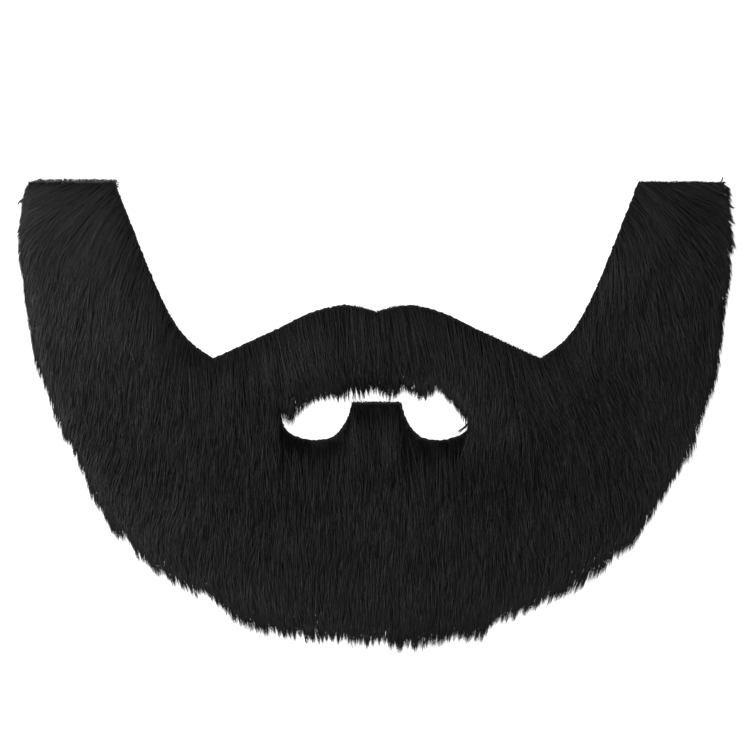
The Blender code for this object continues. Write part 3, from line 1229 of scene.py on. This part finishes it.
    def group_values(self, places: np.ndarray, spread: float, seed: int) -> np.ndarray:
        """A random value that neighbouring tufts share, drifting from one group to the next.

        Args:
            places: The places, one row each.
            spread: How much the value varies.
            seed: Which random field is used.

        Returns:
            One value for each place.
        """
        size = self.group_cells
        values = np.random.default_rng(seed).normal(0, spread, (size, size))
        spot = places / self.group_spacing + size / 2
        i, j = np.floor(spot[:, 1]).astype(int), np.floor(spot[:, 0]).astype(int)
        v, u = smoothstep(spot[:, 1] - i), smoothstep(spot[:, 0] - j)
        return between(values, (np.clip(i, 0, size - 2), np.clip(j, 0, size - 2), v, u))

    def plant(self, chance: np.random.Generator) -> Tufts:
        """Plants the tufts and follows the comb from each, down to where its hairs' tips are.

        Args:
            chance: The source of random numbers.

        Returns:
            The tufts.
        """
        places = self.roots(chance)
        count = len(places)
        swing = self.group_values(places, math.radians(self.group_swing), self.seed + 1)
        swing += chance.normal(0, math.radians(self.tuft_swing), count)
        guide = [places]
        for _ in range(self.steps):
            lean = self.comb.at(guide[-1])[0]
            guide.append(guide[-1] + heading(lean + swing) * self.length / self.steps)
        lift = 1 + self.group_values(places, self.lift_spread, self.seed + 3)
        lift += chance.normal(0, self.lift_spread, count)
        shade = self.group_values(places, self.group_shade, self.seed + 4)
        shade += chance.normal(0, self.tuft_shade, count)
        return Tufts(places, lift, shade, np.stack(guide, axis=1))

    def spread(self, tufts: Tufts, chance: np.random.Generator) -> Hairs:
        """Spreads each tuft's hairs round its guide: apart at the roots, gathered at the tips.

        Args:
            tufts: The planted tufts.
            chance: The source of random numbers.

        Returns:
            The hairs, still untrimmed.
        """
        each = np.repeat(np.arange(len(tufts.places)), self.hairs_in_tuft)
        away = np.sqrt(chance.uniform(0, 1, len(each))) * self.tuft_radius
        turn = chance.uniform(0, 2 * math.pi, len(each))
        offset = np.stack([np.cos(turn), np.sin(turn)], axis=-1) * away[:, None]
        rooted = self.shape.on_cloth(tufts.places[each] + offset) > 0
        each, offset = each[rooted], offset[rooted]
        count = len(each)
        share = np.linspace(0, 1, self.steps + 1)[None, :]
        lines = tufts.guides[each]
        sideways = quarter_turn(lines[:, -1] - lines[:, 0])
        lines = lines + offset[:, None, :] * (1 - self.gather * share**self.gather_power)[..., None]
        loose = np.where(chance.uniform(0, 1, count) < self.loose_share, self.loose_drift, 1.0)
        drift = chance.normal(0, math.radians(self.drift), count) * loose
        lines += sideways[:, None, :] * (np.sin(drift)[:, None] * share**self.drift_power)[..., None]
        bow, wave = chance.normal(0, self.bow, (2, count, 1))
        swerve = bow * np.sin(math.pi * share) + wave * np.sin(2 * math.pi * share)
        lines += unit(sideways, TINY)[:, None, :] * swerve[..., None]
        return Hairs(each, lines, chance.uniform(*self.reaches, count))

    @staticmethod
    def first_outside(room: np.ndarray) -> np.ndarray:
        """Finds where the hairs leave an outline.

        Args:
            room: How deep inside the outline each step of each hair is.

        Returns:
            The first step of each hair that is outside, or else its last step.
        """
        outside = room < 0
        first = np.where(outside.any(axis=1), np.argmax(outside, axis=1), room.shape[1] - 1)
        return np.maximum(first, 1)

    @staticmethod
    def steps_inside(room: np.ndarray, outside: np.ndarray) -> np.ndarray:
        """Counts the steps, and the part of a step, that each hair takes to an outline.

        Args:
            room: How deep inside the outline each step of each hair is.
            outside: The first step of each hair that is outside.

        Returns:
            The number of steps.
        """
        inner, outer = (np.take_along_axis(room, s[:, None], 1)[:, 0] for s in (outside - 1, outside))
        return outside - 1 + np.clip(inner / np.maximum(inner - outer, LEAST_STEP), 0, 1)

    def trim(self, hairs: Hairs, chance: np.random.Generator) -> None:
        """Cuts the hairs where they leave the hair's outline, so that the ends stand in tufts.

        Args:
            hairs: The hairs, whose reach and lines are changed.
            chance: The source of random numbers.
        """
        outer = TrimLine(
            self.shape.hairline, side=1, stand_out=0.8, ragged_stand_out=1.37, furthest=8.0,
            narrowest=0.0012, widest=0.0040, notch=1.3, seed=31,
        )
        mouth = TrimLine(
            self.shape.open_mouth, side=-1, stand_out=0.6, ragged_stand_out=0.75, furthest=2.6,
            narrowest=0.0012, widest=0.0026, notch=1.9, seed=37,
        )
        for line in (outer, mouth):
            self.trim_to(line, hairs, chance)

    def trim_to(self, line: TrimLine, hairs: Hairs, chance: np.random.Generator) -> None:
        """Cuts the hairs to one outline and bends their ends towards the middles of its tufts.

        Args:
            line: The outline and how the ends stand about it.
            hairs: The hairs, whose reach and lines are changed.
            chance: The source of random numbers.
        """
        room = line.outline.depth(hairs.lines) * line.side
        inside = np.maximum.accumulate(room > 0, axis=1)
        room = np.where(inside, room, MM)
        leaving = self.first_outside(room)
        spot = hairs.lines[np.arange(len(leaving)), leaving]
        along = line.outline.along(spot)
        stand, back = TuftedEdge(line).uneven(along)
        ragged = self.comb.at(spot)[1]
        run = unit(hairs.lines[:, -1] - hairs.lines[:, 0])
        before, after = (line.outline.depth(spot + run * way) for way in (-MM, MM))
        least, gain = self.lean_out
        outward = np.clip(least + gain * (before - after) * line.side / (2 * MM), 0, 1)
        under = chance.uniform(0, 1, len(spot)) < self.undercoat
        stand = np.where(under, np.minimum(stand, 0) - self.undercoat_step, stand)
        slack = (line.stand_out + line.ragged_stand_out * ragged) * outward + ragged * stand
        slack += chance.normal(0, self.scatter[0] + self.scatter[1] * ragged)
        loose = chance.uniform(0, 1, len(spot)) < self.flyaway
        slack += loose * np.abs(chance.normal(0, self.flyaway_scatter[0] + self.flyaway_scatter[1] * ragged))
        slack = np.clip(slack, self.shortest_slack, line.furthest)[:, None] * MM
        end = self.first_outside(room + slack)
        cut = self.steps_inside(room + slack, end) / self.steps
        cut = np.where((room < -slack).any(axis=1), cut, self.uncut)
        last = self.steps_inside(room, leaving) / self.steps + line.furthest * MM / self.length
        cut = np.where((room < 0).any(axis=1), np.minimum(cut, last), cut)
        cut = np.where(inside[:, -1], cut, self.outlying / self.length)
        hairs.reach = np.minimum(hairs.reach, cut)
        near = smoothstep(1 - np.abs(np.take_along_axis(room, end[:, None], 1)[:, 0]) / self.pull_depth)
        _place, tangent = line.outline.point_at(along)
        square = 1 - np.abs(np.einsum("ij,ij->i", run, tangent))
        pull = back * self.pull * near * square * np.clip(ragged / self.pull_ragged, 0, 1) * ~under
        share = np.linspace(0, 1, self.steps + 1)[None, :]
        start, over = self.bend
        bent = smoothstep((share / np.maximum(hairs.reach[:, None], self.least_reach) - start) / over)
        hairs.lines = hairs.lines + tangent[:, None, :] * (pull[:, None] * bent)[..., None]

    def heights(self, place: np.ndarray, along: np.ndarray, lift: np.ndarray) -> np.ndarray:
        """How high the hair lies.

        Args:
            place: The hairs' points seen from above.
            along: How far along its full length each point is, from 0 to 1.
            lift: How high each hair lies, as a share of the usual.

        Returns:
            The height of each point.
        """
        start, over = self.tip_run
        rise = 1 - (1 - np.clip(along, 0, 1)) ** self.rise_power
        rise = rise - self.tip_drop * smoothstep((along - start) / over)
        inside = smoothstep(self.shape.within_hair(place) / self.edge_shoulder)
        shoulder = self.edge_height + (1 - self.edge_height) * inside
        raised = self.root_height + self.lie_height * lift[:, None] * rise * shoulder
        fall = smoothstep(-self.shape.on_cloth(place) / self.fall_reach)
        resting = self.floor_gap + (self.floor_rise + self.floor_spread * (lift[:, None] - 0.5)) * along
        return raised * (1 - fall) + resting * fall

    def tones(self, place: np.ndarray, tone: np.ndarray) -> np.ndarray:
        """How light each hair is along it: painted shade darkens its roots along the mouth's lower rim,
        where the moustache shades them, and the comb's tone adds painted light and shade.

        Args:
            place: The hairs' points seen from above.
            tone: How light each point of each hair is by chance.

        Returns:
            The tone of each point.
        """
        away = -self.shape.mouth.depth(place)
        highest = np.interp(np.abs(place[..., 0]), self.shade_across, self.shade_highest)
        low = smoothstep((highest - place[..., 1]) / self.shade_fade)
        # Painted shade on the roots along the mouth's lower rim, for the moustache's shadow on them
        bare = smoothstep(1 - away / self.mouth_shade) * low
        # The comb's tone adds painted light and shade, place by place
        return np.clip(tone + self.comb.at(place)[2] - self.mouth_painted_shade * bare, 0, 1)

    def grow(self) -> tuple[Strands, np.ndarray]:
        """Grows every hair of the pile.

        Returns:
            The hairs, and the place of each one's tuft.
        """
        chance = np.random.default_rng(self.seed)
        tufts = self.plant(chance)
        hairs = self.spread(tufts, chance)
        self.trim(hairs, chance)
        count = len(hairs.tuft)
        wanted = hairs.reach[:, None] * np.array(self.nodes)[None, :]
        spot = wanted * self.steps
        low = np.clip(spot.astype(int), 0, self.steps - 1)
        rest = (spot - low)[..., None]
        rows = np.arange(count)[:, None]
        flat = hairs.lines[rows, low] * (1 - rest) + hairs.lines[rows, low + 1] * rest
        lift = np.clip(tufts.lift[hairs.tuft] + chance.normal(0, self.hair_lift, count), *self.lifts)
        tall = self.heights(flat, wanted, lift)
        tall[:, 1:] += chance.normal(0, self.height_spread, (count, len(self.nodes) - 1))
        tall = np.maximum(tall, self.floor_gap)
        points = np.concatenate([flat, tall[..., None]], axis=-1)
        taper = np.interp(self.nodes, *zip(*self.taper))
        radii = self.hair_radius * chance.uniform(*self.thickness, count)[:, None] * taper[None, :]
        tone = self.tone + tufts.shade[hairs.tuft] + chance.normal(0, self.hair_tone, count)
        spin = chance.uniform(0, 2 * math.pi, count)
        # Each hair's random tone, plus the painted shade by the mouth and the comb's painted light and shade
        tones = self.tones(flat, tone[:, None] + chance.normal(0, self.node_tone, flat.shape[:2]))
        kept = hairs.reach > self.shortest
        return Strands(points, radii, tones, spin).chosen(kept), tufts.places[hairs.tuft][kept]

    def part_of(self, tufts: np.ndarray) -> np.ndarray:
        """Which part of the beard each hair belongs to.

        Args:
            tufts: The place of each hair's tuft.

        Returns:
            The part's number in Part, for each hair.
        """
        x, y = tufts[:, 0], tufts[:, 1]
        narrow, upper = np.abs(x) < self.chin_half, y > self.sideburn_foot
        moustache = (np.abs(x) < self.moustache_half) & (y > self.moustache_foot)
        chosen = np.zeros(len(tufts), int)
        for part, rows in (
            (Part.LEFT_JAW, x < 0),
            (Part.RIGHT_JAW, x >= 0),
            (Part.CHIN, narrow),
            (Part.TAB, narrow & (y > self.tab_foot)),
            (Part.MOUSTACHE, moustache),
            (Part.LEFT_SIDEBURN, (x < -self.moustache_half) & upper),
            (Part.RIGHT_SIDEBURN, (x > self.moustache_half) & upper),
        ):
            chosen[rows] = list(Part).index(part)
        return chosen

    def build(self) -> list[bpy.types.Object]:
        """Grows the pile and makes one piece of each part.

        Returns:
            The pieces, in the order of Part.
        """
        strands, tufts = self.grow()
        fringe, fringe_tufts = ChinFringe(self.shape, self.comb).grow()
        strands = strands.joined(fringe)
        number = self.part_of(np.concatenate([tufts, fringe_tufts]))
        finish = FurFinish().material()
        return [
            fitted(strands.chosen(number == index).object(part.value, finish))
            for index, part in enumerate(Part)
        ]


@dataclass
class ChinFringe(Pile):
    """More of the same hair along the chin's edge, so that no light shows through its fringe."""

    across: float = 0.078
    below: float = -0.066
    seed: int = 53

    def roots(self, chance: np.random.Generator) -> np.ndarray:
        """Where these tufts grow: the band of the cloth's edge that the chin's hair hangs over.

        Args:
            chance: The source of random numbers.

        Returns:
            The tufts' places, one row each.
        """
        places = self.rim_roots(chance)
        chin = (np.abs(places[:, 0]) < self.across) & (places[:, 1] < self.below)
        return places[chin & (self.shape.on_cloth(places) > self.rim_least)]


@dataclass
class StrayHairs:
    """The few wisps of loose hair that stand out at the edges."""

    table: tuple[StrayHair, ...] = STRAY_HAIRS
    in_wisp: int = 8
    scatter: float = 0.00012
    fan: float = 3.0
    lengths: tuple[float, float] = (0.7, 1.05)
    tip_drop: float = 0.45
    radius: float = 0.00018
    taper: tuple[tuple[float, float], ...] = ((0, 0.7), (0.3, 1.0), (0.8, 0.7), (1, 0.0))
    tone: float = 0.45
    nodes: int = 7
    seed: int = 41

    def line(self, hair: StrayHair, chance: np.random.Generator) -> np.ndarray:
        """Lays one hair of a wisp.

        Args:
            hair: The wisp, as the table gives it.
            chance: The source of random numbers.

        Returns:
            The hair's points, from its root to its tip.
        """
        share = np.linspace(0, 1, self.nodes)
        angle = np.radians(hair.lean + chance.normal(0, self.fan) + hair.turn * share)
        root = np.array([hair.x, hair.y]) + chance.normal(0, self.scatter, 2)
        run = np.cumsum(heading(angle), axis=0) * hair.length * chance.uniform(*self.lengths)
        tall = hair.z * (1 - self.tip_drop * share)
        return np.concatenate([root + run / self.nodes, tall[:, None]], axis=1)

    def build(self) -> bpy.types.Object:
        """Makes the wisps as one piece.

        Returns:
            The piece.
        """
        chance = np.random.default_rng(self.seed)
        paths = np.array([self.line(hair, chance) for hair in self.table for _ in range(self.in_wisp)])
        taper = np.interp(np.linspace(0, 1, self.nodes), *zip(*self.taper))
        radii = np.tile(self.radius * taper, (len(paths), 1))
        some = Strands(paths, radii, np.full(radii.shape, self.tone), np.zeros(len(paths)))
        return fitted(some.object("stray_hairs", FurFinish(name="black_stray_hair").material()))


@dataclass
class Underfur:
    """The short dense fur under the long hair, as one crowned layer on the cloth."""

    shape: CutShape
    inset: float = 0.0012
    depth: float = 0.0028
    shoulder: float = 0.0130
    least: float = 0.05
    spacing: float = 0.0024
    snap: float = 0.55
    nudge: float = 0.0002
    rough: float = 0.00012
    lift: float = 0.00005
    seed: int = 5

    def grid(self) -> tuple[bpy.types.Object, np.ndarray]:
        """Lays a flat grid over the whole cloth.

        Returns:
            The grid, and its points' places seen from above.
        """
        low, high = self.shape.cloth.points.min(axis=0), self.shape.cloth.points.max(axis=0)
        size = high - low
        columns, rows = np.ceil(size / self.spacing).astype(int)
        bpy.ops.object.select_all(action="DESELECT")
        bpy.ops.mesh.primitive_grid_add(x_subdivisions=int(columns), y_subdivisions=int(rows), size=1)
        piece = bpy.context.object
        piece.name = "underfur"
        place = np.zeros(len(piece.data.vertices) * 3)
        piece.data.vertices.foreach_get("co", place)
        return piece, place.reshape(-1, 3)[:, :2] * size + (low + high) / 2

    def inward(self, flat: np.ndarray) -> np.ndarray:
        """Finds the way straight in from the cloth's edge.

        Args:
            flat: The places, one row each.

        Returns:
            The unit direction at each place.
        """
        ways = np.array([(self.nudge, 0), (0, self.nudge)])
        on_cloth = self.shape.on_cloth
        return unit(np.stack([on_cloth(flat + way) - on_cloth(flat - way) for way in ways], axis=-1), TINY)

    def close(self, mesh: bpy.types.Mesh, places: np.ndarray, kept: np.ndarray, floor: float) -> None:
        """Moves the grid's points, drops those off the cloth and closes the layer down to it.

        Args:
            mesh: The grid's mesh, which is changed.
            places: Where its points go.
            kept: Which of them stay.
            floor: The height of the layer's flat underside.
        """
        shape = bmesh.new()
        shape.from_mesh(mesh)
        shape.verts.ensure_lookup_table()
        for vertex, spot in zip(shape.verts, places):
            vertex.co = spot
        off = [v for v, keep in zip(shape.verts, kept) if not keep]
        bmesh.ops.delete(shape, geom=off, context="VERTS")
        loose = [v for v in shape.verts if not v.link_faces]
        bmesh.ops.delete(shape, geom=loose, context="VERTS")
        lower = bmesh.ops.extrude_face_region(shape, geom=shape.faces[:])["geom"]
        for part in lower:
            if isinstance(part, bmesh.types.BMVert):
                part.co.z = floor
        bmesh.ops.recalc_face_normals(shape, faces=shape.faces[:])
        shape.to_mesh(mesh)
        shape.free()

    def build(self) -> bpy.types.Object:
        """Lays a grid over the cloth, trims it to the outline and raises it.

        Returns:
            The piece, which stands for the CAD fur together with the hair.
        """
        piece, flat = self.grid()
        depth = self.shape.on_cloth(flat)
        inward = self.inward(flat)
        near = np.abs(depth - self.inset) < self.spacing * self.snap
        flat[near] += inward[near] * (self.inset - depth[near])[:, None]
        kept = depth > self.inset - self.spacing * self.snap
        depth = np.where(near, self.inset, depth)
        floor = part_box("backing")[1].z + self.lift
        crown = smoothstep((depth - self.inset) / self.shoulder) + self.least
        uneven = np.random.default_rng(self.seed).normal(0, self.rough, len(flat)) * crown
        tall = floor + self.depth * crown + uneven
        self.close(piece.data, np.column_stack([flat, tall]), kept, floor)
        piece.data.materials.append(UnderfurFinish().material())
        piece.data.shade_smooth()
        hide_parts("fur")
        return fitted(piece)


@dataclass
class GroundCloth:
    """The knitted cloth that the pile is rooted in, cut to the beard's outline."""

    shape: CutShape
    edge_step: float = 0.0009
    tooth: float = 0.00016
    edge_round: float = 0.0004
    seed: int = 3

    def edge(self, outline: np.ndarray, chance: np.random.Generator) -> np.ndarray:
        """An outline with the small teeth that scissors leave between the knit's loops.

        Args:
            outline: The outline's points.
            chance: The source of random numbers.

        Returns:
            The toothed outline's points.
        """
        fine = smooth_loop(outline, sharp_turns(outline), self.edge_step)
        return fine + edge_normals(fine) * chance.normal(0, self.tooth, len(fine))[:, None]

    def build(self) -> bpy.types.Object:
        """Fills the cut outline, gives it the cloth's thickness and rounds its cut edge.

        Returns:
            The piece, which stands for the CAD backing.
        """
        chance = np.random.default_rng(self.seed)
        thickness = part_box("backing")[1].z
        shape = bmesh.new()
        rims = []
        for outline in (self.shape.cloth.points, self.shape.mouth.points):
            corners = [shape.verts.new((x, y, 0)) for x, y in self.edge(outline, chance)]
            rims += [shape.edges.new(ends) for ends in zip(corners, corners[1:] + corners[:1])]
        bmesh.ops.triangle_fill(shape, edges=rims, use_beauty=True)
        raised = bmesh.ops.extrude_face_region(shape, geom=shape.faces[:])["geom"]
        upper = [part for part in raised if isinstance(part, bmesh.types.BMVert)]
        upper_faces = [part for part in raised if isinstance(part, bmesh.types.BMFace)]
        bmesh.ops.translate(shape, verts=upper, vec=(0, 0, thickness))
        bmesh.ops.recalc_face_normals(shape, faces=shape.faces[:])
        bmesh.ops.inset_region(
            shape, faces=upper_faces, thickness=self.edge_round, depth=0, use_even_offset=False
        )
        inner = {v for f in upper_faces for v in f.verts}
        for vertex in shape.verts:
            if vertex.co.z > thickness / 2 and vertex not in inner:
                vertex.co.z = thickness - self.edge_round
        mesh = bpy.data.meshes.new("ground_cloth")
        shape.to_mesh(mesh)
        shape.free()
        mesh.materials.append(ClothFinish().material())
        piece = linked("ground_cloth", mesh)
        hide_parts("backing")
        return fitted(piece)


@dataclass
class CutEdgeFray:
    """The short yarn ends along the cloth's cut edges, where no hair hangs over them."""

    shape: CutShape
    comb: Comb
    spacing: float = 0.00055
    bare_facing: float = 0.15
    inside: float = 0.0006
    heights: tuple[float, float] = (0.0007, 0.0016)
    lengths: tuple[float, float] = (0.3, 1.1)
    tones: tuple[float, float] = (0.2, 1.0)
    fan: float = 38.0
    blunt: float = 0.8
    taper: tuple[float, ...] = (1.0, 0.9, 0.0)
    most_spin: float = 6.0
    seed: int = 23

    @staticmethod
    def run_at(spot: np.ndarray) -> FrayedRun:
        """The run of the table that a place on the edge belongs to, or else the plain edge."""
        runs = [r for r in FRAYED_RUNS if r.low <= spot[0] <= r.high and spot[1] > r.above]
        return runs[0] if runs else PLAIN_EDGE

    def rim(self, outline: Outline, outward: int) -> tuple[np.ndarray, np.ndarray]:
        """Finds the places along a cut edge that the hair is combed away from.

        Args:
            outline: The cut edge.
            outward: 1 where off the cloth is inside the outline, or else -1.

        Returns:
            The places and the directions that point off the cloth.
        """
        fine = smooth_loop(outline.points, sharp_turns(outline.points), self.spacing)
        normal = edge_normals(fine)
        facing = np.sign(outline.depth(fine + normal * MM) - outline.depth(fine - normal * MM))
        normal *= (facing * outward)[:, None]
        bare = np.einsum("ij,ij->i", heading(self.comb.at(fine)[0]), normal) < self.bare_facing
        return fine[bare], normal[bare]

    def yarn(
        self, spot: np.ndarray, out: np.ndarray, long: float, chance: np.random.Generator
    ) -> np.ndarray:
        """Lays one yarn end.

        Args:
            spot: The place on the edge.
            out: The direction that points off the cloth.
            long: How far such yarn ends usually reach off the cloth.
            chance: The source of random numbers.

        Returns:
            The yarn end's three points.
        """
        angle = math.radians(chance.normal(0, self.fan))
        across = np.array([-out[1], out[0]])
        along = out * math.cos(angle) + across * math.sin(angle)
        tall = chance.uniform(*self.heights)
        start = spot - out * self.inside + across * chance.uniform(-0.5, 0.5) * self.spacing
        end = start + along * (self.inside + long * chance.uniform(*self.lengths))
        middle = start + (end - start) * self.blunt
        return np.array([[*start, tall], [*middle, tall + self.inside / 2], [*end, tall]])

    def build(self) -> bpy.types.Object:
        """Sets yarn ends along the edges that the hair is combed away from.

        Returns:
            The piece.
        """
        chance = np.random.default_rng(self.seed)
        paths, tones, thick = [], [], []
        for outline, outward in ((self.shape.cloth, -1), (self.shape.mouth, 1)):
            for spot, out in zip(*self.rim(outline, outward)):
                run = self.run_at(spot)
                for _ in range(run.yarns):
                    paths.append(self.yarn(spot, out, run.long, chance))
                    tones.append(chance.uniform(*self.tones) * run.pale)
                    thick.append(run.thick)
        radii = np.array(thick)[:, None] * np.array(self.taper)
        tones = np.repeat(np.array(tones)[:, None], len(self.taper), axis=1)
        some = Strands(np.array(paths), radii, tones, chance.uniform(0, self.most_spin, len(paths)))
        return fitted(some.object("cut_edge_fray", FrayFinish().material()))


class LightSpec(NamedTuple):
    """A soft studio light: where it hangs, how wide it is and how strong."""

    name: str
    x: float
    y: float
    z: float
    width: float
    power: float


@dataclass
class Studio:
    """A white table, soft lights and a camera straight above."""

    lights: tuple[LightSpec, ...] = (
        LightSpec("key_left", -0.42, -0.02, 0.36, 0.55, 4.3),
        LightSpec("fill_lower_right", 0.40, -0.45, 0.80, 0.60, 1.4),
    )
    surround: float = 0.65
    surround_colour: Triple = (1.0, 1.0, 1.0)
    floor_side: float = 12.0
    view_width: float = 0.3485
    lens: float = 85.0
    sensor: float = 36.0
    clip: tuple[float, float] = (0.05, 20.0)
    aim: Triple = (0.0007, 0.0161, 0.006)

    def lay_table(self) -> None:
        """Lays the white table that the beard lies on."""
        bpy.ops.object.select_all(action="DESELECT")
        bpy.ops.mesh.primitive_plane_add(size=self.floor_side, location=(0, 0, 0))
        floor = bpy.context.object
        floor.name = "floor"
        floor.data.materials.append(FloorFinish().material())

    def hang_lights(self) -> None:
        """Sets the soft surround and hangs the lights, each turned to the beard."""
        world = bpy.data.worlds.new("soft_surround")
        world.use_nodes = True
        surround = world.node_tree.nodes["Background"]
        surround.inputs["Color"].default_value = (*self.surround_colour, 1)
        surround.inputs["Strength"].default_value = self.surround
        bpy.context.scene.world = world
        for spec in self.lights:
            light = bpy.data.lights.new(spec.name, "AREA")
            light.size = spec.width
            light.energy = spec.power
            lamp = linked(spec.name, light)
            lamp.location = (spec.x, spec.y, spec.z)
            lamp.rotation_euler = Vector(lamp.location).to_track_quat("Z", "Y").to_euler()

    def set_camera(self) -> None:
        """Sets the camera straight above, as far off as its lens needs for the view's width."""
        lens = bpy.data.cameras.new("camera")
        lens.lens, lens.sensor_width = self.lens, self.sensor
        lens.clip_start, lens.clip_end = self.clip
        camera = linked("camera", lens)
        x, y, z = self.aim
        camera.location = (x, y, z + self.view_width * self.lens / self.sensor)
        bpy.context.scene.camera = camera
        bpy.context.scene.view_settings.view_transform = "Standard"

    def build(self) -> None:
        """Lays the table, hangs the lights and sets the camera."""
        self.lay_table()
        self.hang_lights()
        self.set_camera()


def main() -> None:
    """Builds the beard piece by piece, then the studio."""
    logging.basicConfig(level=logging.INFO, format="%(name)s: %(message)s")
    shape = CutShape()
    comb = Comb()
    cloth = GroundCloth(shape)
    ground = cloth.build()
    fur = [Underfur(shape).build(), *Pile(shape, comb).build()]
    fur += [StrayHairs().build(), CutEdgeFray(shape, comb).build()]
    Studio().build()


if __name__ == "__main__":
    main()
